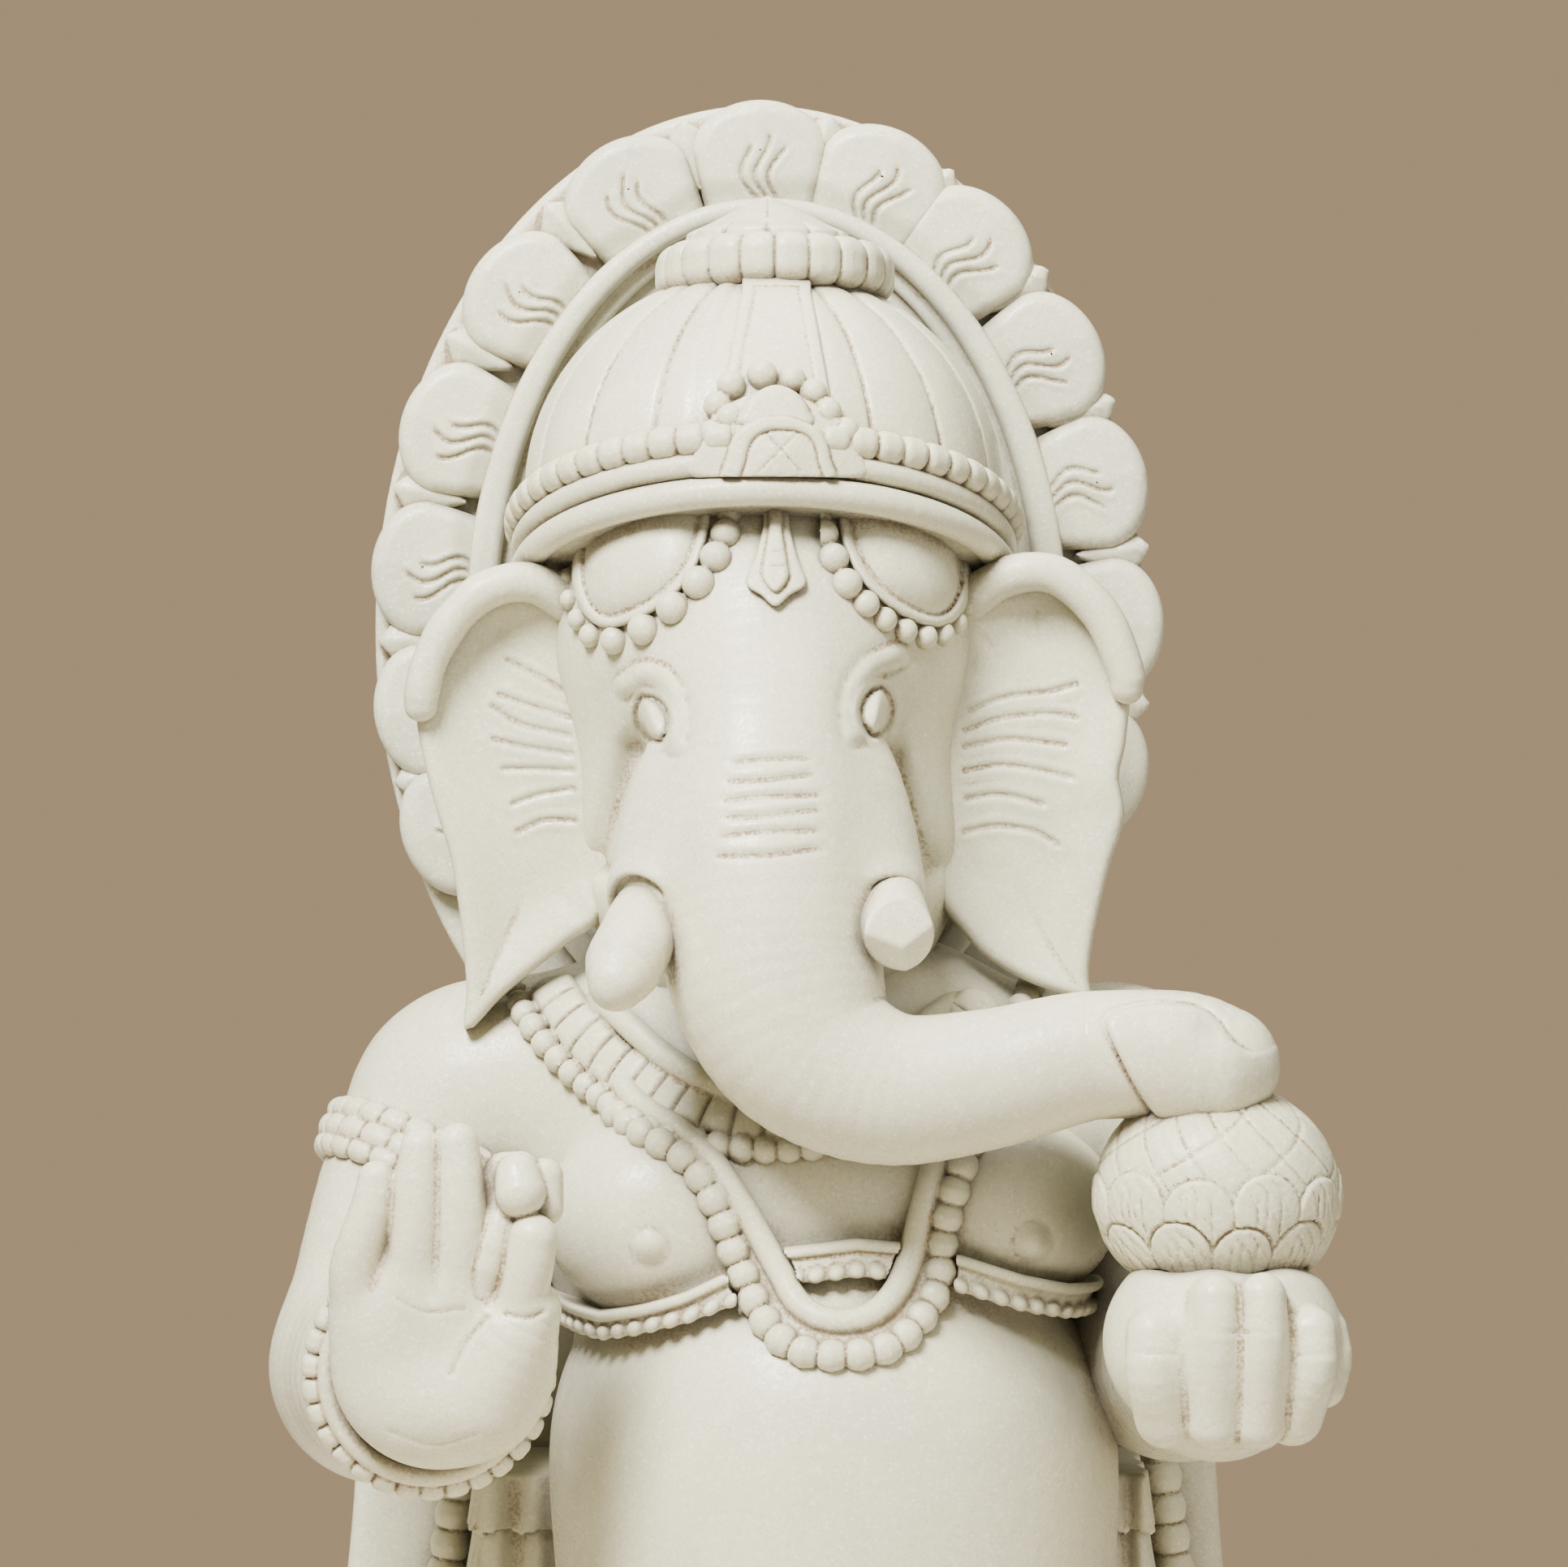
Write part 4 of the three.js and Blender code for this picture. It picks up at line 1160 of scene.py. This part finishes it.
def ring_frame(p, at, way):
    """Distance from a ring's axis, height along it, and the turn about it."""
    w = np.array(way, np.float32)
    w = w / np.linalg.norm(w)
    u = np.cross(w, (0.3, 1.0, 0.2))
    u = u / np.linalg.norm(u)
    v = np.cross(w, u)
    q = p - np.array(at, np.float32)
    a, b = q @ u.astype(np.float32), q @ v.astype(np.float32)
    return np.hypot(a, b), q @ w, np.arctan2(a, b)


def lobes(turn, radius, count):
    """Distance to the nearest joint between lobes round a ring."""
    t = turn * count / (2 * np.pi)
    return from_joint(t) * 2 * np.pi * radius / count


def armlet_field(p):
    at, way, reach = ARMLET["right"]
    radius, height, turn = ring_frame(p, at, way)
    skin = np.minimum(right_upper(p), torso_skin(p))
    body = None
    for level, tube, count, shift in ((-11, 6.0, 22, 0.0), (0, 6.8, 19, 0.4), (10, 5.5, 22, 0.2)):
        gap = lobes(turn + shift, reach, count)
        row = np.hypot(skin - 1.5, height - level) - tube - 1.6 * np.sqrt(np.clip(gap / 8, 0, 1))
        row = row + line(gap, 1.0, 1.5)
        body = row if body is None else blend(body, row, 1.0)
    return np.maximum(body, radius - 85)


BANGLE = ((-183, -196, 522), (0.12, -1.0, 0.0))
BANGLE_TEETH = 30


def bangle_field(p):
    radius, height, turn = ring_frame(p, *BANGLE)
    plain = np.hypot(radius - 52.5, height - 8) - 5.0
    gap = lobes(turn, 61, BANGLE_TEETH)
    tooth = np.hypot(np.maximum(np.abs(radius - 56.5) - 2.0, 0), (height + 1) * 0.85) - 5.0
    tooth = tooth - 2.4 * np.clip(gap / 4, 0, 1) ** 0.5 + line(gap, 0.9, 1.4)
    return blend(plain, tooth, 1.0)


right_fingers = [
    limb([(-207, -236, 625, 9.5), (-209, -237, 611, 11), (-214, -236, 595, 12), (-218, -232, 578, 13.5),
        (-216, -226, 556, 15)], 10),
    limb([(-184.5, -237, 641, 9.5), (-186, -239, 620, 11.0), (-187, -238, 595, 12), (-189, -232, 568, 14)],
         10),
    limb([(-165.5, -237, 643, 10), (-164, -239, 620, 11.5), (-163.5, -238, 595, 12.5),
          (-166, -232, 568, 14)], 10),
]
index_base = limb([(-141, -234, 611, 8.5), (-147, -238, 594, 10.5), (-152, -238, 576, 10),
                   (-156, -232, 562, 8)], 6)
index_bend = limb([(-149, -228, 598, 8.5), (-149, -226, 616, 9), (-144, -230, 629, 8.5),
                   (-134, -232, 630, 9)], 6)
index_tip = limb([(-135, -241, 627, 11.5), (-133.5, -244, 619, 13)], 4)
index_back = limb([(-122, -228, 625.5, 9.8), (-121, -230, 610, 9)], 4)
thumb = limb([(-127, -245, 596, 12.5), (-129, -244, 582, 12.5), (-133, -239, 564, 13)], 8)
thenar = limb([(-130, -234, 558, 17), (-140, -232, 540, 22), (-156, -226, 512, 26)], 8)
wrist = limb([(-184, -180, 522, 46), (-180, -204, 521, 42), (-176, -216, 520, 34)], 8)
HAND_LINES = [drawn([(-196, 566), (-180, 559), (-162, 561)], 10),
              drawn([(-122, 559), (-130, 556), (-140, 558)], 8),
              drawn([(-150, 556), (-160, 544), (-168, 528)], 8),
              drawn([(-200, 498), (-178, 491), (-156, 497)], 8)]


def right_hand_field(p):
    palm = blend(egg(p, (-174, -224, 530), (57, 25, 53)), egg(p, (-190, -226, 556), (40, 20, 30)), 16)
    body = blend(blend(palm, thenar(p), 12), wrist(p), 14)
    pair = blend(right_fingers[1](p), right_fingers[2](p), 3.5) - 0.8
    body = blend(body, pair, 9)
    for digit, fillet in ((right_fingers[0], 4), (index_base, 2), (thumb, 3), (index_bend, 3)):
        body = blend(body, digit(p), fillet)
    body = blend(body, blend(index_tip(p), index_back(p), 2), 1.5)
    f, front = flat(p), p[:, 1] < -225
    for crease, depth in zip(HAND_LINES, (0.6, 1.3, 1.2, 0.5)):
        body = body + np.where(front, line(crease.nearest(f)[0], 1.6, depth), 0)
    hollow = np.exp(-((p[:, 0] + 182) ** 2 + (p[:, 2] - 534) ** 2) / 420.0)
    return body + np.where(front, 4.0 * hollow, 0)


left_fingers = [
    limb([(186, -259, 548.5, 13.6), (186, -261, 530, 14.2), (193, -248, 506, 16)], 8),
    limb([(216, -269, 568, 11.8), (216, -271, 545, 12.3), (217, -257, 505, 15)], 8),
    limb([(240, -269, 569, 11.8), (240, -271, 545, 12.3), (238, -257, 505, 15)], 8),
    limb([(265.5, -258, 550, 12.6), (265.5, -260, 532, 13), (257, -246, 507, 16)], 8),
]


def left_hand_field(p):
    bowl = egg(p, (224.5, -219, 541), (61.5, 58, 54))
    body = common(bowl, p[:, 2] - 579 + 1.2 * np.sin(p[:, 0] / 6), 7)
    body = blend(body, left_wrist(p), 12)
    fingers = left_fingers[0](p)
    for finger in left_fingers[1:]:
        fingers = blend(fingers, finger(p), 3.0)
    body = blend(body, fingers, 5)
    body = blend(body, left_thumb(p), 3)
    nails = (line(p[:, 2] - 541, 1.6, 0.7) * ramp(1 - np.abs(p[:, 0] - 185) / 14)
             + line(p[:, 2] - 552, 1.6, 0.6) * ramp(1 - np.abs(p[:, 0] - 227) / 26)
             + line(p[:, 2] - 540, 1.6, 0.6) * ramp(1 - np.abs(p[:, 0] - 266) / 14))
    heap = egg(p, SWEETS[0], [r - 3 for r in SWEETS[1]])
    return common(body + np.where(p[:, 1] < -262, nails, 0), -heap, 1)


left_wrist = limb([(226, -166, 520, 46), (228, -190, 526, 44)], 6)
left_thumb = limb([(279, -226, 548, 8), (280, -228, 534, 9.5), (274, -230, 520, 12)], 6)


# ---------------------------------------------------------------- heap of sweets and trunk tip

SWEETS = ((223, -200, 616), (63, 57, 57))
SCALE_ROWS = [(559, 0.72), (583.6, 0.22), (608, 0.90)]
SCALES_ROUND, SCALE_GIRTH = 10, 60


def sweets_field(p):
    body = egg(p, *SWEETS)
    turn = np.arctan2(p[:, 0] - SWEETS[0][0], -(p[:, 1] - SWEETS[0][1]))
    z = p[:, 2]
    girth = np.sqrt(np.clip(1 - ((z - SWEETS[0][2]) / SCALE_GIRTH) ** 2, 0.08, 1))
    lift = np.zeros(len(p), np.float32) - 1.0
    placed = np.zeros(len(p), bool)
    for row, (base, shift) in enumerate(SCALE_ROWS):
        t = turn * SCALES_ROUND / (2 * np.pi) + shift
        u = (t - np.floor(t) - 0.5) * 2 * np.pi * SCALE_GIRTH * girth / SCALES_ROUND
        wobble = 1.5 * np.sin(3.1 * np.floor(t) + row)
        gap = np.hypot(u / np.maximum(girth, 0.6), z - base + wobble) - 20.5
        strokes = line(u + 6, 0.8, 0.6) + line(u + 1, 0.8, 0.6) + line(u - 7, 0.8, 0.6)
        bent = u + 0.7 * (z - base) + 2 * np.sin(z / 5)
        hatch = line(bent % 9 - 4.5, 0.7, 0.3 + 0.3 * np.sin(u / 6 + row))
        drawn_in = np.where(z < base + 12, strokes * ramp((base + 12 - z) / 5), 0) + hatch
        level = 2.0 * ramp(-gap / 3.0) - 0.9 + 0.9 * ramp(-gap / 20) - drawn_in * ramp(-gap / 6)
        take = (~placed) & (gap < 1.0)
        lift = np.where(take, level, lift)
        placed |= gap < 0
    rough = 0.5 * np.sin(turn * 29 + z / 3.1) * np.sin(z / 3.3 + turn * 11)
    crown_lines = (line((turn * 34 + 0.5 * z) % 15 - 7.5, 0.8, 0.8)
                   + line((turn * 20 - 0.6 * z) % 19 - 9.5, 0.8, 0.7))
    return body - np.where(placed, lift + 0.4 * rough, 0.4 * rough - crown_lines)


tip_run = limb([(152, -205, 686, 33.0), (180, -206, 687, 33.0), (206, -208, 686, 33.0),
                (224, -210, 682, 30)], 12)
flap = outline([(163.5, 705), (174, 711.5), (188, 714), (201, 714), (213, 711), (222, 704), (227, 696),
                (238, 690),
    (262, 694), (270, 664), (240, 636), (210, 640), (194, 652), (181, 668), (171, 686)], 70)


def tip_field(p):
    h = tip_run(p)
    edge = flap(p)
    lift = 5.5 * ramp((246 - p[:, 0]) / 26)
    dimple = 3.2 * np.exp(-((p[:, 0] - 217) ** 2 + (p[:, 2] - 700) ** 2) / 90.0)
    pad = slab(edge, h + dimple, -8, lift + 0.4, 3.2)
    groove = line(edge, 1.6, 1.8) * ramp((240 - p[:, 0]) / 12)
    body = np.where(p[:, 1] < -190, np.minimum(h + groove, pad), h)
    return common(body, 152.5 - p[:, 0], 0.4)


# ---------------------------------------------------------------- legs, cloth and beads at the sides

SEAT_TOP = 150.0
right_thigh = limb([(-100, -40, 216.5, 66), (-170, -78, 214, 60), (-236, -110, 206.5, 54)], 10)
right_shin = limb([(-236, -110, 206.5, 54), (-130, -180, 208.5, 42), (-40, -200, 216, 34),
                   (26, -200, 226, 28)], 14)
right_foot = limb([(20, -200, 226, 27), (58, -200, 232, 26), (92, -194, 238, 20)], 8)
left_thigh = limb([(130, -40, 216.5, 66), (192, -78, 214, 60), (246, -110, 206.5, 54)], 10)
left_shin = limb([(246, -110, 206.5, 54), (140, -200, 190.5, 38), (60, -214, 186, 32),
                  (0, -222, 182.5, 28)], 14)
left_foot = limb([(4, -222, 182, 28), (-40, -222, 181, 27), (-84, -213, 180, 20)], 8)


def toes(at, way):
    """Five toes, smaller towards the outer one."""
    return pearls([(at[0] + way * (15 - 1.6 * i), at[1] - 4 + 6.0 * i, at[2] + 8 - 5.4 * (i - 1.5), 8.2
                    - 0.9 * i)
                   for i in range(5)])


right_toes, left_toes = toes((92, -206, 240), 1), toes((-86, -226, 184), -1)


def leg_field(side):
    thigh, shin, foot, toe = ((right_thigh, right_shin, right_foot, right_toes) if side == "right"
                              else (left_thigh, left_shin, left_foot, left_toes))
    middle = -236 if side == "right" else 246

    def field(p):
        cloth = blend(thigh(p), shin(p), 18)
        reach = np.hypot(p[:, 0] - middle, (p[:, 1] + 110)) + 0.35 * p[:, 2]
        folds = 1.5 * np.sin(reach / 5.2 + 0.8 * np.sin(p[:, 2] / 22)) * ramp((reach - 96) / 30)
        hem = past_hem(p, side)
        cloth = np.maximum(cloth - 0.8 - folds * 0.8, hem)
        bare = blend(np.maximum(shin(p) + 3, -hem - 8), foot(p), 8)
        body = np.minimum(cloth, blend(bare, toe(p), 2.5))
        return np.maximum(body, SEAT_TOP + 0.3 - p[:, 2])
    return field


def past_hem(p, side):
    """Past the hem of the cloth on the shin."""
    wave = 3 * np.sin(p[:, 2] / 6.0)
    return (p[:, 0] + 4 + wave) if side == "right" else (30 - p[:, 0] + wave)


SASHES = {"right": (box_mm("right_sash"), -1), "left": (box_mm("left_sash"), 1)}


def sash_field(side):
    (low, high), way = SASHES[side]
    inner, outer = (high[0], low[0]) if way < 0 else (low[0], high[0])

    def field(p):
        foot = ramp((high[2] - p[:, 2]) / 210) * 12
        reach = (p[:, 0] - inner) * way
        width = abs(outer - inner) - 13 + foot
        edge = np.maximum(np.abs(reach - width / 2) - width / 2, np.abs(p[:, 2] - (low[2] + high[2]) / 2)
                          - (high[2] - low[2]) / 2 + 1)
        across = reach / np.maximum(width, 1) * 3.0
        wave = 4.0 * np.abs(across - np.floor(across) - 0.5)
        layer = (high[2] - p[:, 2] + wave * 2.2) / 34.0
        part = layer - np.floor(layer)
        face = low[1] + 12 - 7.5 * part - 2.6 * np.sin(across * 2 * np.pi + 0.6 * np.floor(layer))
        outer_face = reach - width + 4 + 3.5 * (1 - part) + 1.5 * np.sin(p[:, 1] / 5.0)
        body = slab(edge, p[:, 1], face, high[1] - 1, 3)
        return common(body, outer_face, 2)
    return field


STRIPS = {"right": [(-184, 74, 436), (-192, 74, 380), (-206, 74, 300), (-216, 74, 250)],
          "left": [(214, 74, 440), (222, 74, 380), (232, 74, 300), (238, 74, 250)]}


def strip_field(side):
    run = Route(STRIPS[side], 16)
    return lambda p: teeth(run, p, 17, 8.2, 3.4, 1.5)


# ---------------------------------------------------------------- slab, seat and plinth

back_shape = outline([(-268, 162), (-262, 280), (-250, 400), (-245, 470), (-236, 520), (-222, 580),
                      (-200, 630),
    (-160, 672), (-120, 690), (0, 694), (120, 690), (165, 672), (205, 630), (228, 580), (242, 520),
    (248, 470), (252, 400), (262, 280), (268, 162), (262, 151), (0, 150), (-262, 151)], 120)


def back_slab_field(p):
    edge = back_shape(p) + 2
    tooled = 0.5 * np.sin(p[:, 0] / 10 + np.sin(p[:, 2] / 27)) * np.sin(p[:, 2] / 14.0)
    body = slab(edge, p[:, 1], 88.5 + 0.5 * tooled, BACK - 0.5 + 0.5 * tooled, 9)
    halo = oval(p[:, 0] - DISC_X, p[:, 2] - HALO_Z, DISC_RX - 1, DISC_RZ)
    return np.maximum(np.maximum(body, -halo - 2), SEAT_TOP + 0.3 - p[:, 2])


SEAT_LOW, SEAT_HIGH = box_mm("lotus_base")
SEAT_MID = (SEAT_LOW + SEAT_HIGH) / 2
SEAT_RX, SEAT_RY = (SEAT_HIGH - SEAT_LOW)[0] / 2, (SEAT_HIGH - SEAT_LOW)[1] / 2


SEAT_PETALS = 28


def seat_petal(turn, z, base, tip, shift):
    """Relief of a row of lotus petals, their tips at the given height."""
    t = turn * SEAT_PETALS / (2 * np.pi) + shift
    across = np.abs(t - np.floor(t) - 0.5) * 2
    up = np.clip((z - base) / (tip - base), -0.2, 1.3)
    reach = np.where(up > 0.35, np.sqrt(np.clip(1 - ((up - 0.35) / 0.65) ** 2, 0, 1)), 1.0) * 0.93
    gap = (reach - across) * 29
    gap = np.where(up > 1, -8, gap)
    dome = 7.5 * np.sqrt(np.clip(gap / 22, 0, 1)) + 1.2 * ramp(gap / 2)
    rim = line(gap - 4.5, 1.2, 1.0)
    return np.where(gap > 0, dome - rim + 3.0 * up, -1.5) + line(across * 29, 1.0, 0.9) * (gap > 6)


def lotus_base_field(p):
    x, y, z = p[:, 0] - SEAT_MID[0], p[:, 1] - SEAT_MID[1], p[:, 2]
    d = oval(x, y, SEAT_RX - 1, SEAT_RY - 1)
    turn = np.arctan2(x / SEAT_RX, y / SEAT_RY)
    inset = profile(z, (60, 70, 78, 88, 97, 103, 112, 126, 140, 147, 150),
        (1, 1, 14, 26, 34, 34, 26, 18, 10, 9, 12))
    upper = seat_petal(turn, z, 102, 144, 0.0)
    back_row = seat_petal(turn, z, 102, 146, 0.5) - 5
    lower = seat_petal(turn, z, 98, 71, 0.5)
    relief = np.where(z > 100, np.maximum(upper, back_row), lower)
    relief = np.where(z > 147, 0, relief) * ramp((z - 68) / 4)
    beads = 2.5 * np.sqrt(np.clip(1 - ((z - 100) / 4.5) ** 2, 0, 1)) * (0.55 + 0.45 * np.cos(turn * 150))
    body = (d + inset - relief - beads) * 0.75
    return common(body, np.maximum(z - 149.5, 60.3 - z), 2)


def plinth_field(p):
    low, high = box_mm("plinth")
    mid, half = (low + high) / 2, (high - low) / 2
    corner = 34.0
    q = np.abs(p[:, :2] - mid[:2].astype(np.float32)) - (half[:2].astype(np.float32) - corner)
    d = np.hypot(np.maximum(q[:, 0], 0), np.maximum(q[:, 1], 0)) + np.minimum(q.max(1), 0) - corner
    inset = profile(p[:, 2], (0, 2, 14, 16, 18, 20, 42, 44, 46, 57, 60), (3, 1, 1, 2, 7, 8, 8, 7, 2, 1, 4))
    edge_wave = 0.4 * np.sin(p[:, 0] / 17 + p[:, 2] / 9) * np.sin(p[:, 1] / 19)
    return common(d + inset + edge_wave, np.maximum(p[:, 2] - 59.7, 0.3 - p[:, 2]), 1.5)


carve("torso", torso_field, (-245, -220, 150), (262, 125, 765), 2.7, SMOOTH)
carve("neck", neck_field, (-92, -114, 648), (84, 42, 775), 1.8, CARVED)
carve("chest_band", chest_band_field, (-132, -210, 520), (176, 22, 600), 1.3, CARVED)
carve("collar_necklace", collar_field, (-170, -190, 612), (158, 24, 770), 1.4, CARVED)
carve("long_necklace", long_necklace_field, *both(around(cord_run, 8), around(tooth_run, 11)), 1.3, CARVED)
carve("right_upper_arm", arm_field("right", "upper"), (-280, -130, 445), (-135, 50, 660), 2.4, SMOOTH)
carve("right_forearm", arm_field("right", "fore"), (-280, -245, 445), (-130, 0, 575), 2.2, SMOOTH)
carve("left_upper_arm", arm_field("left", "upper"), (145, -130, 455), (275, 50, 660), 2.4, SMOOTH)
carve("left_forearm", arm_field("left", "fore"), (150, -225, 455), (280, 0, 582), 2.2, SMOOTH)
carve("right_armlet", armlet_field, (-275, -110, 545), (-125, 60, 665), 1.4, CARVED)
carve("right_bangle", bangle_field, (-255, -220, 448), (-110, -175, 596), 1.3, CARVED)
carve("right_hand", right_hand_field, (-236, -262, 470), (-104, -150, 660), 1.4, SMOOTH)
carve("left_hand", left_hand_field, (158, -290, 484), (292, -150, 592), 1.4, SMOOTH)
carve("sweet_heap", sweets_field, (156, -262, 556), (290, -138, 678), 1.3, CARVED)
carve("trunk_tip", tip_field, (150, -256, 640), (262, -166, 728), 1.3, SMOOTH)
carve("right_leg", leg_field("right"), (-295, -245, 150), (122, 30, 285), 2.4, CARVED)
carve("left_leg", leg_field("left"), (-118, -258, 150), (305, 30, 285), 2.4, CARVED)
for side in ("right", "left"):
    carve(side + "_sash", sash_field(side), *SASHES[side][0], 1.9, CARVED)
    carve(side + "_bead_strip", strip_field(side), *around(Route(STRIPS[side], 8), 13), 1.8, CARVED)
carve("back_slab", back_slab_field, (-272, 84, 150), (272, BACK + 2, 700), 3.4, SLAB)
carve("lotus_base", lotus_base_field, SEAT_LOW - 8, SEAT_HIGH + 8, 2.6, BASE)
carve("plinth", plinth_field, *box_mm("plinth"), 3.4, BASE)


# ---------------------------------------------------------------- floor

FLOOR_RADIUS, FLOOR_DROP = 1.45, 0.0006


def floor():
    """A round pale floor."""
    mesh = bpy.data.meshes.new("floor")
    body = bmesh.new()
    bmesh.ops.create_circle(body, cap_ends=True, segments=96, radius=FLOOR_RADIUS)
    body.to_mesh(mesh)
    body.free()
    mat = bpy.data.materials.new("floor_paint")
    mat.use_nodes = True
    shader = mat.node_tree.nodes["Principled BSDF"]
    shader.inputs["Base Color"].default_value = (0.62, 0.55, 0.46, 1)
    shader.inputs["Roughness"].default_value = 0.85
    grain = mat.node_tree.nodes.new("ShaderNodeTexNoise")
    grain.inputs["Scale"].default_value = 160
    bump = mat.node_tree.nodes.new("ShaderNodeBump")
    bump.inputs["Strength"].default_value = 0.05
    mat.node_tree.links.new(grain.outputs["Fac"], bump.inputs["Height"])
    mat.node_tree.links.new(bump.outputs[0], shader.inputs["Normal"])
    mesh.materials.append(mat)
    ob = bpy.data.objects.new("floor", mesh)
    ob.location = (0, 0, -FLOOR_DROP)
    bpy.context.scene.collection.objects.link(ob)


floor()


# ---------------------------------------------------------------- light, floor and camera

def lamp(name, at, aim, size, power, colour):
    data = bpy.data.lights.new(name, "AREA")
    data.shape = "DISK"
    data.size = size
    data.energy = power
    data.color = colour
    ob = bpy.data.objects.new(name, data)
    ob.location = at
    way = np.array(aim) - np.array(at)
    ob.rotation_euler = (math.acos(-way[2] / np.linalg.norm(way)), 0, math.atan2(way[1], way[0])
                         - math.pi / 2)
    bpy.context.scene.collection.objects.link(ob)


lamp("key_light", (-1.1, -2.1, 3.3), (0, 0, 0.8), 1.4, 435, (1.0, 0.99, 0.93))
lamp("fill_light", (2.1, -2.6, 1.5), (0, 0, 0.75), 2.4, 30, (1.0, 0.98, 0.92))
lamp("top_light", (0.2, 0.3, 3.2), (0, 0, 0.9), 1.8, 38, (1.0, 0.99, 0.93))


def studio():
    """A plain warm backdrop all round; the light that it sends onto the marble is paler."""
    world = bpy.data.worlds.new("studio")
    world.use_nodes = True
    nodes, links = world.node_tree.nodes, world.node_tree.links
    nodes["Background"].inputs[0].default_value = (0.215, 0.197, 0.142, 1.0)
    seen = nodes.new("ShaderNodeBackground")
    seen.inputs[0].default_value = (0.425, 0.302, 0.178, 1.0)
    path, pick = nodes.new("ShaderNodeLightPath"), nodes.new("ShaderNodeMixShader")
    links.new(path.outputs["Is Camera Ray"], pick.inputs[0])
    links.new(nodes["Background"].outputs[0], pick.inputs[1])
    links.new(seen.outputs[0], pick.inputs[2])
    links.new(pick.outputs[0], nodes["World Output"].inputs[0])
    bpy.context.scene.world = world


studio()

VIEW = {"distance": 2.75, "height": 0.826, "wide_at_plinth": 0.8694, "sensor": 36.0, "plane": 0.05}
camera_data = bpy.data.cameras.new("camera")
camera_data.sensor_width = VIEW["sensor"]
camera_data.lens = VIEW["sensor"] * (VIEW["distance"] + VIEW["plane"]) / VIEW["wide_at_plinth"]
camera = bpy.data.objects.new("camera", camera_data)
camera.location = (0, -VIEW["distance"], VIEW["height"])
camera.rotation_euler = (math.pi / 2, 0, 0)
bpy.context.scene.collection.objects.link(camera)
bpy.context.scene.camera = camera
